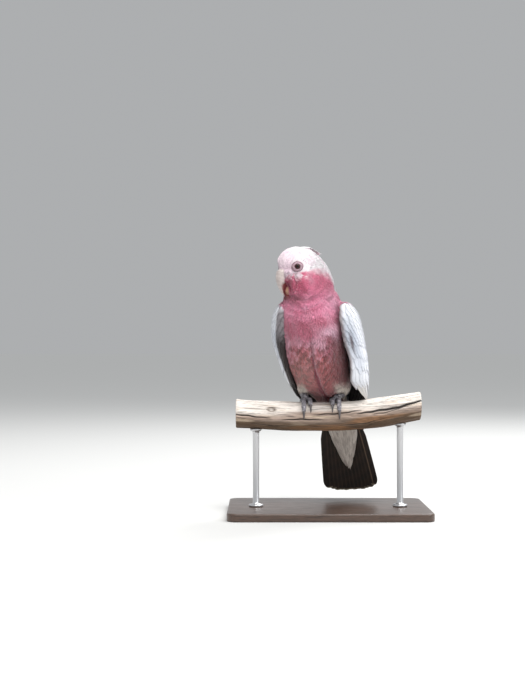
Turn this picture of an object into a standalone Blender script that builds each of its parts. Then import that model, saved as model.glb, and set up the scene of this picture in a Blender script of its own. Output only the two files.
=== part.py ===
"""A galah gripping a short length of branch, life size, on a plain display stand.

Metres, +Z up. The origin lies on the stand's underside, straight below the middle of
the perch. The bird's breast faces -Y, and +X is to the right of someone facing it.
"""

import math

import bmesh
import bpy
import numpy as np
from mathutils import Matrix, Vector

MM = 0.001
GAP = 0.3  # mm, between pieces that touch

# ---- Driving sizes, in millimetres and degrees -------------------------------------
CROWN_Z = 334.5  # top of the head above the table
BODY_YAW = 12.0  # the breast's turn to the bird's right
HEAD_YAW = 62.0  # the face's turn to the bird's right
HEAD_AT = (-22.5, -13.0)  # the upright axis through the head
EYE_RADIUS, EYE_Z, EYE_FORWARD, EYE_SIDE = 5.5, 307.4, 17.0, 17.2
PERCH_RADIUS, PERCH_Z = 18.0, 122.5
PERCH_RISE = {"left": 3.0, "right": 8.5}  # over the first 100 mm to either side
PERCH_LEFT, PERCH_RIGHT = -105.0, 125.0  # its sawn ends
TAIL_ROOT = (27.5, 47.5, 127.0)
TAIL_LENGTH, TAIL_FEATHERS = 117.5, 12
TAIL_THICKNESS, TAIL_NOTCH = 1.1, 0.025
TAIL_LEAN, TAIL_SWEEP = 0.19, 0.404  # run to the right and backwards for each mm down
BASE_SIZE = (250.0, 170.0, 10.0)
BASE_CENTRE = (10.0, 10.0)
ROD_RADIUS, ROD_X = 4.0, (-80.0, 100.0)
ROD_IN_PERCH, ROD_IN_BASE = 12.0, 6.0

# Level slices through head, neck and trunk, from crown to tail root:
# height, middle x, middle y, turn, half width, reach forward, reach back.
BODY = [
    (CROWN_Z, -26.0, -13.0, HEAD_YAW, 2.0, 2.5, 2.5),
    (333.6, -26.0, -13.0, HEAD_YAW, 8.0, 10.0, 8.0),
    (330.0, -25.7, -13.0, HEAD_YAW, 15.0, 19.0, 15.5),
    (324.5, -25.3, -13.0, HEAD_YAW, 20.0, 26.0, 22.5),
    (317.0, -24.5, -13.0, HEAD_YAW, 23.5, 30.5, 29.5),
    (309.0, -22.5, -13.0, HEAD_YAW, 24.5, 32.0, 34.5),
    (301.0, -20.5, -12.5, HEAD_YAW, 25.5, 30.5, 37.0),
    (293.0, -18.0, -12.0, HEAD_YAW, 27.5, 29.0, 37.0),
    (284.0, -15.0, -11.0, 58.0, 30.0, 30.5, 37.0),
    (274.0, -12.0, -10.0, 50.0, 33.5, 34.0, 38.0),
    (264.0, -11.0, -9.5, 38.0, 36.0, 37.5, 37.0),
    (254.0, -10.0, -9.0, 25.0, 37.5, 42.0, 38.5),
    (243.0, -9.0, -8.0, 17.0, 39.0, 46.0, 41.0),
    (231.0, -7.0, -7.0, BODY_YAW, 40.0, 48.0, 44.0),
    (218.0, -6.0, -6.0, BODY_YAW, 40.0, 48.5, 45.5),
    (193.0, -3.0, -3.0, BODY_YAW, 39.0, 47.0, 46.5),
    (175.0, 0.5, 1.0, BODY_YAW, 37.0, 43.0, 46.0),
    (163.0, 4.0, 6.0, BODY_YAW, 33.0, 37.0, 43.5),
    (155.0, 7.0, 12.0, BODY_YAW, 28.0, 31.0, 40.0),
    (150.0, 9.5, 17.5, BODY_YAW, 23.0, 25.5, 35.5),
    (146.0, 12.5, 23.5, BODY_YAW, 21.0, 22.0, 30.5),
    (142.5, 15.5, 28.5, BODY_YAW, 20.5, 18.0, 26.0),
    (138.0, 18.5, 33.0, BODY_YAW, 20.5, 15.0, 21.0),
    (130.0, 23.5, 39.5, BODY_YAW, 20.5, 14.0, 15.0),
    (114.0, 28.5, 47.0, BODY_YAW, 18.0, 13.0, 12.0),
]
FULLNESS = 0.92  # 1 gives true ellipses, less gives squarer slices
HEAD_CUT, NECK_CUT, CUT_TILT = (-12.0, -10.0, 277.0), (-10.0, -9.0, 251.0), 14.0
GROOVE_DEPTH, GROOVE_TOP, GROOVE_FOOT = 2.6, 228.0, 148.0

# Level slices through the shell that both folded wings belong to: height, middle x,
# middle y, half width, reach forward, reach back, angle from straight ahead of the
# wing's front edge and of its back edge, thickness at the front edge.
WING = [
    (265.0, -7.0, -9.5, 41.5, 22.0, 33.0, 68.0, 128.0, 3.5),
    (262.0, -7.2, -9.5, 46.0, 29.0, 37.0, 58.0, 138.0, 6.0),
    (256.5, -6.3, -9.0, 50.0, 36.0, 41.0, 51.0, 147.0, 8.0),
    (243.0, -5.4, -8.0, 55.2, 43.0, 46.5, 47.0, 158.0, 8.5),
    (218.0, -2.5, -6.0, 57.5, 44.0, 50.5, 47.0, 168.0, 8.0),
    (193.0, 3.5, -3.0, 56.0, 42.0, 52.0, 52.0, 174.0, 6.0),
    (168.0, 9.5, 2.5, 52.0, 38.0, 51.5, 55.0, 175.0, 4.0),
    (155.0, 13.5, 11.0, 48.0, 32.0, 47.0, 66.0, 176.0, 3.0),
    (142.0, 18.0, 23.0, 44.0, 25.0, 38.0, 80.0, 176.0, 2.4),
    (130.0, 22.5, 35.5, 39.5, 18.0, 27.5, 86.0, 176.0, 2.0),
    (118.0, 27.0, 49.0, 35.5, 12.0, 18.0, 92.0, 175.0, 1.8),
    (104.0, 31.5, 61.0, 31.0, 9.0, 10.0, 98.0, 174.0, 1.6),
    (90.0, 33.9, 67.5, 26.5, 8.0, 9.0, 104.0, 170.0, 1.5),
    (66.0, 37.9, 77.0, 20.5, 7.0, 7.5, 122.0, 158.0, 1.3),
    (55.0, 39.7, 81.5, 17.5, 6.0, 6.5, 138.0, 146.0, 1.2),
]
WING_BACK_THICKNESS = 2.4
COVERTS_END_Z, COVERTS_TILT = 186.0, -12.0  # where the arm gives way to flight feathers
PRIMARIES_AT = (20.0, 36.0, 136.0)  # on the line between secondaries and primaries

# Each leg: middle of the foot, then the thigh's line from hip to ankle with its radii.
LEGS = {
    "left": {"foot_x": 19.6, "side": 1, "hip_x": 24.0, "knee_x": 29.5, "ankle_x": 29.0},
    "right": {"foot_x": -17.2, "side": -1, "hip_x": -16.0, "knee_x": -19.5, "ankle_x": -21.8},
}
FOOT_Y, FOOT_Z = -2.0, 146.2
TOE_RADIUS, TOE_STANDOFF = 3.1, 0.5
CLAW_RADIUS, CLAW_SEAT = 1.6, 1.8
FOOT_WIDTH = 21.0
# Toe: step to the bird's outer side at root and at tip, angle round the perch from its
# top (forward is positive) where the toe starts, where it ends, and where its claw ends.
TOES = {
    "toe_1": (-3.8, -6.0, -15.0, -48.0, -74.0),
    "toe_2": (-3.8, -5.0, 15.0, 50.0, 74.0),
    "toe_3": (3.3, 3.6, 15.0, 74.0, 100.0),
    "toe_4": (3.8, 6.5, -15.0, -66.0, -94.0),
}


# ---- Tools ---------------------------------------------------------------------------
def clear_scene():
    for old in list(bpy.data.objects):
        bpy.data.objects.remove(old, do_unlink=True)


def collection(name):
    made = bpy.data.collections.new(name)
    bpy.context.scene.collection.children.link(made)
    return made


def finish(name, colour, roughness, metallic=0.0):
    made = bpy.data.materials.new(name)
    made.use_nodes = True
    shader = made.node_tree.nodes["Principled BSDF"]
    shader.inputs["Base Color"].default_value = (*colour, 1.0)
    shader.inputs["Roughness"].default_value = roughness
    shader.inputs["Metallic"].default_value = metallic
    return made


def place(name, bm, material, where):
    """Turns a bmesh in millimetres into a named object in metres."""
    bmesh.ops.scale(bm, vec=(MM, MM, MM), verts=bm.verts)
    bmesh.ops.recalc_face_normals(bm, faces=bm.faces)
    mesh = bpy.data.meshes.new(name)
    bm.to_mesh(mesh)
    bm.free()
    mesh.materials.append(material)
    mesh.shade_smooth()
    mesh.set_sharp_from_angle(angle=math.radians(40))
    made = bpy.data.objects.new(name, mesh)
    where.objects.link(made)
    return made


def along(table, heights):
    """Smooth values between a table's rows, at the given heights, with no overshoot."""
    rows = np.array(table, float)
    rows = rows[np.argsort(rows[:, 0])]
    x, y = rows[:, 0], rows[:, 1:]
    step = np.diff(x)[:, None]
    slope = np.diff(y, axis=0) / step
    same = slope[:-1] * slope[1:] > 0
    total = np.where(same, slope[:-1] + slope[1:], 1.0)
    tangent = np.zeros_like(y)
    tangent[1:-1] = np.where(same, 2 * slope[:-1] * slope[1:] / total, 0.0)
    tangent[0], tangent[-1] = slope[0], slope[-1]
    at = np.clip(np.asarray(heights, float), x[0], x[-1])
    i = np.clip(np.searchsorted(x, at) - 1, 0, len(x) - 2)
    t = ((at - x[i]) / step[i, 0])[:, None]
    a, b = 2 * t**3 - 3 * t**2 + 1, t**3 - 2 * t**2 + t
    c, d = -2 * t**3 + 3 * t**2, t**3 - t**2
    return a * y[i] + b * step[i] * tangent[i] + c * y[i + 1] + d * step[i] * tangent[i + 1]


def turned(forward, side, yaw):
    """A step forward and to the bird's left, as x and y."""
    a = math.radians(yaw)
    return (
        -forward * math.sin(a) + side * math.cos(a),
        -forward * math.cos(a) - side * math.sin(a),
    )


def loft(rings):
    """A closed body through rings of equal numbers of points, capped at both ends."""
    bm = bmesh.new()
    loops = [[bm.verts.new(p) for p in ring] for ring in rings]
    n = len(loops[0])
    for low, high in zip(loops, loops[1:]):
        for i in range(n):
            j = (i + 1) % n
            bm.faces.new((low[i], low[j], high[j], high[i]))
    bm.faces.new(loops[0])
    bm.faces.new(loops[-1])
    return bm


def tube(name, points, radii, material, where, roundness=2):
    """A tapering tube along points, made as a bevelled curve and turned into a mesh."""
    curve = bpy.data.curves.new(name, "CURVE")
    curve.dimensions = "3D"
    curve.bevel_depth = MM
    curve.bevel_resolution = roundness
    curve.use_fill_caps = True
    spline = curve.splines.new("POLY")
    spline.points.add(len(points) - 1)
    for knot, point, radius in zip(spline.points, points, radii):
        knot.co = (*(Vector(point) * MM), 1.0)
        knot.radius = radius
    guide = bpy.data.objects.new(name + "_line", curve)
    where.objects.link(guide)
    bpy.context.view_layer.update()
    shape = guide.evaluated_get(bpy.context.evaluated_depsgraph_get())
    mesh = bpy.data.meshes.new_from_object(shape)
    bm = bmesh.new()
    bm.from_mesh(mesh)
    bmesh.ops.remove_doubles(bm, verts=bm.verts, dist=0.01 * MM)
    bmesh.ops.scale(bm, vec=(1 / MM, 1 / MM, 1 / MM), verts=bm.verts)
    bpy.data.objects.remove(guide, do_unlink=True)
    bpy.data.meshes.remove(mesh)
    return place(name, bm, material, where)


def kept_side(bm, point, normal):
    """Cuts a closed bmesh with a plane, keeps what lies along the normal, and caps it."""
    everything = bm.verts[:] + bm.edges[:] + bm.faces[:]
    cut = bmesh.ops.bisect_plane(
        bm, geom=everything, plane_co=point, plane_no=normal, clear_inner=True, dist=1e-5
    )
    edges = [e for e in cut["geom_cut"] if isinstance(e, bmesh.types.BMEdge)]
    bmesh.ops.holes_fill(bm, edges=edges, sides=0)
    return bm


def cleared(piece, tool, cutters):
    """Cuts the piece back so that it stays a gap away from the tool."""
    cutter = tool.copy()
    cutter.data = tool.data.copy()
    cutter.name = f"cut_{piece.name}_by_{tool.name}"
    cutter.modifiers.clear()
    bm = bmesh.new()
    bm.from_mesh(cutter.data)
    bm.normal_update()
    for vertex, normal in [(v, v.normal.copy()) for v in bm.verts]:
        vertex.co += normal * GAP * MM
    bm.to_mesh(cutter.data)
    bm.free()
    cutters.objects.link(cutter)
    cutter.hide_render = True
    cutter.display_type = "WIRE"
    boolean = piece.modifiers.new(f"clear_of_{tool.name}", "BOOLEAN")
    boolean.operation = "DIFFERENCE"
    boolean.object = cutter


# ---- Head, neck and trunk ---------------------------------------------------------------
def body_ring(height, sides):
    """One level slice of the body, counted from straight ahead towards the bird's left."""
    x, y, yaw, width, front, back = along(BODY, [height])[0]
    middle = (GROOVE_TOP + GROOVE_FOOT) / 2
    share = max(0.0, 1 - ((height - middle) / (GROOVE_TOP - middle)) ** 2)
    ring = []
    for k in range(sides):
        angle = 2 * math.pi * k / sides
        ahead, aside = math.cos(angle), math.sin(angle)
        forward = (front if ahead > 0 else back) * math.copysign(abs(ahead) ** FULLNESS, ahead)
        side = width * math.copysign(abs(aside) ** FULLNESS, aside)
        if k == 0:
            forward -= GROOVE_DEPTH * share
        dx, dy = turned(forward, side, yaw)
        ring.append((x + dx, y + dy, height))
    return ring


def whole_body(sides=20):
    heights = [row[0] for row in BODY]
    rings = []
    for high, low in zip(heights, heights[1:]):
        steps = max(1, round((high - low) / 9.0))
        rings += [high + (low - high) * k / steps for k in range(steps)]
    return loft([body_ring(z, sides) for z in rings + [heights[-1]]])


def tilted(yaw, degrees):
    """A normal that points up, leaning forward along yaw, so that its plane drops in front."""
    a = math.radians(degrees)
    x, y = turned(math.sin(a), 0.0, yaw)
    return Vector((x, y, math.cos(a)))


def tail_frame():
    """The tail's root, its directions to the tip, to the bird's left and to the belly."""
    down = Vector((TAIL_LEAN, TAIL_SWEEP, -1.0)).normalized()
    across = Vector((*turned(0.0, 1.0, BODY_YAW), 0.0))
    across = (across - down * across.dot(down)).normalized()
    return Vector(TAIL_ROOT), down, across, down.cross(across).normalized()


def make_body(skin, where):
    head_cut, head_normal = Vector(HEAD_CUT), tilted(HEAD_YAW, CUT_TILT)
    neck_cut, neck_normal = Vector(NECK_CUT), tilted(BODY_YAW, CUT_TILT)
    root, down, _, _ = tail_frame()
    half = GAP / 2
    head = kept_side(whole_body(), head_cut + head_normal * half, head_normal)
    neck = kept_side(whole_body(), head_cut - head_normal * half, -head_normal)
    neck = kept_side(neck, neck_cut + neck_normal * half, neck_normal)
    trunk = kept_side(whole_body(), neck_cut - neck_normal * half, -neck_normal)
    trunk = kept_side(trunk, root - down * half, -down)
    return (
        place("head", head, skin["crown"], where),
        place("neck", neck, skin["pink"], where),
        place("trunk", trunk, skin["breast"], where),
    )


# ---- Head parts --------------------------------------------------------------------------
def at_head(forward, side, height):
    x, y = turned(forward, side, HEAD_YAW)
    return (HEAD_AT[0] + x, HEAD_AT[1] + y, height)


def make_eye(name, side, material, where):
    bm = bmesh.new()
    bmesh.ops.create_uvsphere(bm, u_segments=12, v_segments=8, radius=EYE_RADIUS)
    bmesh.ops.translate(bm, vec=at_head(EYE_FORWARD, side * EYE_SIDE, EYE_Z), verts=bm.verts)
    return place(name, bm, material, where)


def horn(name, outer, inner, widths, material, where, sides=10, steps=10):
    """A curved horny piece between its outer and inner lines, given as forward and height."""
    share = np.linspace(0.0, 1.0, len(outer))
    rows = [(s, *o, *i, w) for s, o, i, w in zip(share, outer, inner, widths)]
    rings = []
    for forward, height, in_forward, in_height, width in along(rows, np.linspace(0, 1, steps)):
        ring = []
        for k in range(sides):
            a = 2 * math.pi * k / sides
            reach = (1 + math.cos(a)) / 2
            ring.append(
                at_head(
                    in_forward + (forward - in_forward) * reach,
                    width * math.sin(a),
                    in_height + (height - in_height) * reach,
                )
            )
        rings.append(ring)
    return place(name, loft(rings), material, where)


def make_bill(material, where):
    upper = horn(
        "bill_upper",
        outer=[(30.0, 306.0), (35.2, 302.0), (36.4, 295.0), (34.6, 286.5), (30.5, 278.0), (25.4, 270.6)],
        inner=[(20.0, 301.0), (18.5, 296.0), (18.5, 290.0), (22.5, 283.0), (25.2, 277.0), (24.6, 271.0)],
        widths=[6.5, 7.8, 7.8, 6.6, 4.2, 0.9],
        material=material,
        where=where,
    )
    lower = horn(
        "bill_lower",
        outer=[(23.6, 281.5), (24.0, 277.5), (22.4, 272.0), (18.0, 268.6)],
        inner=[(15.0, 282.0), (13.5, 278.0), (13.0, 274.0), (13.5, 270.6)],
        widths=[5.6, 6.4, 5.8, 3.4],
        material=material,
        where=where,
        steps=8,
    )
    return upper, lower


def make_crest(material, where):
    """Crown feathers laid back, their tips standing just clear of the nape."""
    rows = [  # forward, underside height, top height, half width
        (4.0, 331.0, 334.9, 4.5),
        (-5.0, 328.5, 335.0, 8.0),
        (-16.0, 322.5, 332.6, 8.5),
        (-21.0, 320.5, 330.0, 7.0),
        (-25.0, 320.5, 326.9, 4.5),
    ]
    rings = []
    for share in np.linspace(4.0, -25.0, 8):
        low, high, width = along(rows, [share])[0]
        ring = []
        for k in range(10):
            a = 2 * math.pi * k / 10
            rise = (high + low) / 2 + (high - low) / 2 * math.cos(a)
            ring.append(at_head(share, width * math.sin(a), rise))
        rings.append(ring)
    return place("crest", loft(rings), material, where)


# ---- Wings --------------------------------------------------------------------------------
def wing_ring(height, side, points=10):
    """One level slice of a folded wing: its outer line, then its inner line back."""
    x, y, width, front, back, first, last, thick = along(WING, [height])[0]
    thin = min(WING_BACK_THICKNESS, thick)

    def at(angle, depth):
        a = math.radians(angle)
        reach = front if math.cos(a) > 0 else back
        dx, dy = turned((reach - depth) * math.cos(a), side * (width - depth) * math.sin(a), BODY_YAW)
        return (x + dx, y + dy, height)

    shares = np.linspace(0.0, 1.0, points)
    depths = [thin + (thick - thin) * math.cos(s * math.pi / 2) ** 2 for s in shares]
    angles = [first + (last - first) * s for s in shares]
    lip = math.degrees(thick / width) * 0.35
    outer = [at(a, 0.0) for a in angles]
    inner = [at(a, d) for a, d in zip(angles, depths)]
    return outer + [at(last + 0.6, thin / 2)] + inner[::-1] + [at(first - lip, thick / 2)]


def whole_wing(side):
    heights = [row[0] for row in WING]
    rings = []
    for high, low in zip(heights, heights[1:]):
        steps = max(1, round((high - low) / 13.0))
        rings += [high + (low - high) * k / steps for k in range(steps)]
    return loft([wing_ring(z, side) for z in rings + [heights[-1]]])


def make_wing(name, side, skin, where):
    """The wing as three pieces: feathered arm, secondaries, and primaries with the tip."""
    half = GAP / 2
    arm_at, arm_normal = Vector((0.0, 0.0, COVERTS_END_Z)), tilted(BODY_YAW, COVERTS_TILT)
    # The primaries show along the lower edge, and all the way across past the secondaries.
    out = Vector((*turned(0.0, side, BODY_YAW), 0.0))
    line = Vector((*turned(-1.0, 0.0, BODY_YAW), -1.0))
    split_at, split_normal = Vector(PRIMARIES_AT), line.cross(out).normalized() * side
    arm = kept_side(whole_wing(side), arm_at + arm_normal * half, arm_normal)
    flight = kept_side(whole_wing(side), arm_at - arm_normal * half, -arm_normal)
    primaries = kept_side(flight.copy(), split_at + split_normal * half, split_normal)
    secondaries = kept_side(flight, split_at - split_normal * half, -split_normal)
    return (
        place(name + "_coverts", arm, skin["silver"], where),
        place(name + "_secondaries", secondaries, skin["silver"], where),
        place(name + "_primaries", primaries, skin["slate"], where),
    )


# ---- Tail -----------------------------------------------------------------------------------
def tail_half_width(share):
    return 24.0 + 12.5 * share ** 0.7


def tail_arch(across):
    """How far the fan bends towards the belly away from its middle."""
    return 3.2 * (across / 32.0) ** 2


def on_tail(down_by, across_by, belly_by):
    root, down, across, belly = tail_frame()
    return root + down * down_by + across * across_by + belly * belly_by


def make_tail(material, where):
    """Tail feathers as one shingled fan with rounded tips, outer feathers nearest the belly."""
    per_feather, rows = 2, 3
    columns = TAIL_FEATHERS * per_feather
    faces = top, under = (-TAIL_THICKNESS / 2, TAIL_THICKNESS / 2)
    sheets = {}
    for face in faces:
        for c in range(columns + 1):
            place_across = 2 * c / columns - 1
            tip = 1 - 0.06 * abs(place_across) ** 3 - TAIL_NOTCH * (c % per_feather == 0)
            for r in range(rows + 1):
                share = r / rows
                side = place_across * tail_half_width(share)
                lift = tail_arch(side) + face
                sheets[face, c, r] = on_tail(TAIL_LENGTH * share * tip, side, lift)
    bm = bmesh.new()
    corners = {key: bm.verts.new(point) for key, point in sheets.items()}
    for face in faces:
        for c in range(columns):
            for r in range(rows):
                around = [(c, r), (c + 1, r), (c + 1, r + 1), (c, r + 1)]
                bm.faces.new([corners[face, *key] for key in around])
    edge = [(c, 0) for c in range(columns)] + [(columns, r) for r in range(rows)]
    edge += [(c, rows) for c in range(columns, 0, -1)] + [(0, r) for r in range(rows, 0, -1)]
    for a, b in zip(edge, edge[1:] + edge[:1]):
        bm.faces.new([corners[top, *a], corners[top, *b], corners[under, *b], corners[under, *a]])
    return place("tail", bm, material, where)


def tail_wedge(name, rows, side, material, where):
    """Coverts that taper along the tail: distance down, half width and thickness rows."""
    lengths = [row[0] for row in rows]
    rings = []
    for d in np.linspace(lengths[0], lengths[-1], 9):
        width, thick = along(rows, [d])[0]
        ring = []
        for k in range(10):
            a = 2 * math.pi * k / 10
            across = width * math.sin(a)
            fan = tail_arch(across) + (1.25 if side > 0 else -0.9)
            ring.append(on_tail(d, across, fan + side * thick * (1 - math.cos(a)) / 2))
        rings.append(ring)
    return place(name, loft(rings), material, where)


# ---- Legs -------------------------------------------------------------------------------------
def perch_centre(x):
    rise = PERCH_RISE["right" if x > 0 else "left"] * (x / 100.0) ** 2
    return Vector((x, 0.0, PERCH_Z + rise))


def round_perch(x, angle, off):
    """A point off the perch's surface, at an angle from its top, forward being positive."""
    a = math.radians(angle)
    reach = PERCH_RADIUS + off
    return perch_centre(x) + Vector((0.0, -reach * math.sin(a), reach * math.cos(a)))


def foot_room(name, x, cutters):
    """A round cutter about the perch, to keep the belly's feathers off the toes."""
    reach = PERCH_RADIUS + TOE_STANDOFF + 2 * TOE_RADIUS * 1.1
    bm = bmesh.new()
    bmesh.ops.create_cone(
        bm, cap_ends=True, segments=24, radius1=reach, radius2=reach, depth=FOOT_WIDTH
    )
    bmesh.ops.rotate(bm, matrix=Matrix.Rotation(math.radians(90), 3, "Y"), verts=bm.verts)
    bmesh.ops.translate(bm, vec=perch_centre(x), verts=bm.verts)
    room = place(f"room_{name}", bm, bpy.data.materials.new("cutter"), cutters)
    room.hide_render = True
    room.display_type = "WIRE"
    return room


def make_leg(name, leg, skin, where, cutters):
    x = leg["foot_x"]
    thigh = tube(
        f"thigh_{name}",
        [
            (leg["hip_x"], 2.0, 184.0),
            (leg["hip_x"] * 0.6 + leg["knee_x"] * 0.4, 3.0, 175.0),
            (leg["knee_x"], 5.0, 166.0),
            (leg["knee_x"], 6.0, 158.0),
            (leg["ankle_x"] * 0.5 + leg["knee_x"] * 0.5, 6.5, 152.0),
            (leg["ankle_x"], 6.5, 148.4),
        ],
        [10.0, 12.5, 12.0, 10.0, 7.8, 5.2],
        skin["thigh"],
        where,
        roundness=4,
    )
    shank = tube(
        f"shank_{name}",
        [
            (leg["ankle_x"] - leg["side"] * 0.5, 5.5, 149.6),
            (leg["ankle_x"] * 0.6 + x * 0.4, 2.0, 148.4),
            (leg["ankle_x"] * 0.25 + x * 0.75, -0.8, 147.0),
            (x, FOOT_Y, FOOT_Z),
            (x - leg["side"] * 3.6, FOOT_Y - 0.6, FOOT_Z - 0.4),
        ],
        [3.6, 3.6, 4.0, 4.6, 2.6],
        skin["scaly"],
        where,
    )
    cleared(thigh, shank, cutters)
    for toe, (root_step, tip_step, start, end, claw_end) in TOES.items():
        side = leg["side"]
        shares = np.linspace(0.0, 1.0, 7)
        steps = [root_step + (tip_step - root_step) * s for s in shares]
        toe_points = [
            round_perch(x + side * step, start + (end - start) * s, TOE_RADIUS + TOE_STANDOFF)
            for s, step in zip(shares, steps)
        ]
        pads = [TOE_RADIUS * (1.02 - 0.22 * s + 0.07 * math.cos(s * 3 * 2 * math.pi)) for s in shares]
        flesh = tube(f"toe_{name}_{toe[-1]}", toe_points, pads, skin["scaly"], where)
        cleared(flesh, shank, cutters)
        # The claw grows out of a socket in the toe's end.
        first = end - math.copysign(math.degrees(CLAW_SEAT / PERCH_RADIUS), end)
        claw_points = [
            round_perch(
                x + side * tip_step,
                first + (claw_end - first) * s,
                (TOE_RADIUS + TOE_STANDOFF) * (1 - s) + 1.0 * s + 1.6 * math.sin(s * math.pi),
            )
            for s in np.linspace(0.0, 1.0, 6)
        ]
        claw_radii = [CLAW_RADIUS * (1 - s) ** 0.7 + 0.3 for s in np.linspace(0.0, 1.0, 6)]
        claw = tube(f"claw_{name}_{toe[-1]}", claw_points, claw_radii, skin["claw"], where, 1)
        cleared(flesh, claw, cutters)
    return foot_room(name, x, cutters), shank, thigh


# ---- Perch and stand -----------------------------------------------------------------------------
def make_perch(material, where):
    """A sawn length of weathered branch, gently uneven, rising to one side."""
    rings = []
    for x in np.linspace(PERCH_LEFT, PERCH_RIGHT, 12):
        centre = perch_centre(x)
        ring = []
        for k in range(16):
            a = 2 * math.pi * k / 16
            # The wood swells and narrows a little away from the feet.
            away = min(1.0, (x / 60.0) ** 2)
            swell = 0.5 * math.sin(x / 17.0 + 2 * a) + 0.4 * math.sin(x / 29.0 - a)
            reach = PERCH_RADIUS + away * swell
            ring.append(centre + Vector((0.0, reach * math.cos(a), reach * math.sin(a))))
        rings.append(ring)
    return place("perch", loft(rings), material, where)


def rod_top(x):
    return perch_centre(x).z - PERCH_RADIUS + ROD_IN_PERCH


def upright(name, x, radius, low, high, material, where):
    bm = bmesh.new()
    bmesh.ops.create_cone(
        bm, cap_ends=True, segments=20, radius1=radius, radius2=radius, depth=high - low
    )
    bmesh.ops.translate(bm, vec=(x, 0.0, (low + high) / 2), verts=bm.verts)
    return place(name, bm, material, where)


def make_stand(skin, perch, where, cutters):
    bm = bmesh.new()
    bmesh.ops.create_cube(bm, size=1.0)
    bmesh.ops.scale(bm, vec=BASE_SIZE, verts=bm.verts)
    bmesh.ops.translate(bm, vec=(*BASE_CENTRE, BASE_SIZE[2] / 2), verts=bm.verts)
    corners = [e for e in bm.edges if abs(e.verts[0].co.z - e.verts[1].co.z) > 1.0]
    bmesh.ops.bevel(
        bm, geom=corners, offset=12.0, segments=4, profile=0.5, affect="EDGES", material=-1
    )
    rim = [
        e
        for e in bm.edges
        if min(v.co.z for v in e.verts) > BASE_SIZE[2] - 0.01 and e.calc_face_angle(0) > 0.5
    ]
    bmesh.ops.bevel(bm, geom=rim, offset=2.0, segments=2, profile=0.5, affect="EDGES", material=-1)
    base = place("stand_base", bm, skin["stand"], where)
    for name, x in zip(("stand_rod_left", "stand_rod_right"), ROD_X):
        low = BASE_SIZE[2] - ROD_IN_BASE
        rod = upright(name, x, ROD_RADIUS, low, rod_top(x), skin["steel"], where)
        cleared(base, rod, cutters)
        cleared(perch, rod, cutters)


# ---- The model ---------------------------------------------------------------------------------------
def main():
    clear_scene()
    where, cutters = collection("galah"), collection("cutters")
    cutters.hide_render = True
    skin = {
        "crown": finish("crown_feathers", (0.83, 0.70, 0.73), 0.85),
        "pink": finish("pink_feathers", (0.70, 0.20, 0.28), 0.85),
        "breast": finish("breast_feathers", (0.50, 0.15, 0.20), 0.85),
        "silver": finish("wing_feathers", (0.55, 0.56, 0.60), 0.75),
        "slate": finish("primary_feathers", (0.10, 0.10, 0.11), 0.70),
        "tail": finish("tail_feathers", (0.05, 0.045, 0.042), 0.70),
        "vent": finish("vent_feathers", (0.45, 0.42, 0.39), 0.85),
        "thigh": finish("thigh_feathers", (0.40, 0.34, 0.33), 0.85),
        "horn": finish("bill_horn", (0.68, 0.64, 0.58), 0.45),
        "eye": finish("eye", (0.03, 0.01, 0.01), 0.08),
        "scaly": finish("foot_scales", (0.20, 0.20, 0.23), 0.60),
        "claw": finish("claws", (0.10, 0.10, 0.11), 0.40),
        "wood": finish("weathered_branch", (0.42, 0.34, 0.27), 0.85),
        "stand": finish("stand_wood", (0.05, 0.035, 0.025), 0.40),
        "steel": finish("stand_steel", (0.45, 0.45, 0.46), 0.30, 1.0),
    }
    head, neck, trunk = make_body(skin, where)
    upper, lower = make_bill(skin["horn"], where)
    crest = make_crest(skin["crown"], where)
    cleared(lower, upper, cutters)
    for tool in (upper, lower, crest):
        cleared(head, tool, cutters)
    cleared(neck, upper, cutters)
    cleared(neck, lower, cutters)
    for name, side in (("eye_left", 1), ("eye_right", -1)):
        cleared(head, make_eye(name, side, skin["eye"], where), cutters)
    for name, side in (("wing_left", 1), ("wing_right", -1)):
        for piece in make_wing(name, side, skin, where):
            cleared(piece, trunk, cutters)
            cleared(piece, neck, cutters)
    make_tail(skin["tail"], where)
    tail_wedge(
        "undertail_coverts",
        [(GAP / 2, 18.0, 16.0), (14.0, 20.0, 11.0), (32.0, 18.0, 7.0), (60.0, 10.0, 3.6), (86.0, 1.2, 1.0)],
        1,
        skin["vent"],
        where,
    )
    tail_wedge(
        "uppertail_coverts",
        [(GAP / 2, 17.0, 3.6), (20.0, 14.0, 3.2), (40.0, 6.0, 1.0)],
        -1,
        skin["silver"],
        where,
    )
    for name, leg in LEGS.items():
        for piece in make_leg(name, leg, skin, where, cutters):
            cleared(trunk, piece, cutters)
    perch = make_perch(skin["wood"], where)
    make_stand(skin, perch, where, cutters)


main()
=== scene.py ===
import math

import bmesh
import bpy
import numpy as np
from mathutils import Matrix, Vector
from mathutils.bvhtree import BVHTree


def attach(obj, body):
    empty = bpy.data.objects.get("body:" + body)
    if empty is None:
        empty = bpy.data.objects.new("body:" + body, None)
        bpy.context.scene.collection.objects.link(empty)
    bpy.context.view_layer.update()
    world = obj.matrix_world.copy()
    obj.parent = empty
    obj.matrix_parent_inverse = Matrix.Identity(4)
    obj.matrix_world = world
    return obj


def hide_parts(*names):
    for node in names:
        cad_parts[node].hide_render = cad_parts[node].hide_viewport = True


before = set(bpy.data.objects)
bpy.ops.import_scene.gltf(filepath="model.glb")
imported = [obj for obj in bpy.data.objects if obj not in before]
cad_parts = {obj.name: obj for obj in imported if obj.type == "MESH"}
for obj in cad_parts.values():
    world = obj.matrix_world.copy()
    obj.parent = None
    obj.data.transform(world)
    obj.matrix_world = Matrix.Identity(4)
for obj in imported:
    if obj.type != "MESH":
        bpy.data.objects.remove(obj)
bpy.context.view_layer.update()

# ---- Skin --------------------------------------------------------------------------------
# One surface over head, neck, trunk, thighs and the arms of the wings, with the flesh under
# it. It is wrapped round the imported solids, smoothed, and drawn in by the depth of the
# plumage that stands on it. Sizes from here on are in millimetres.
MM = 0.001
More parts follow.
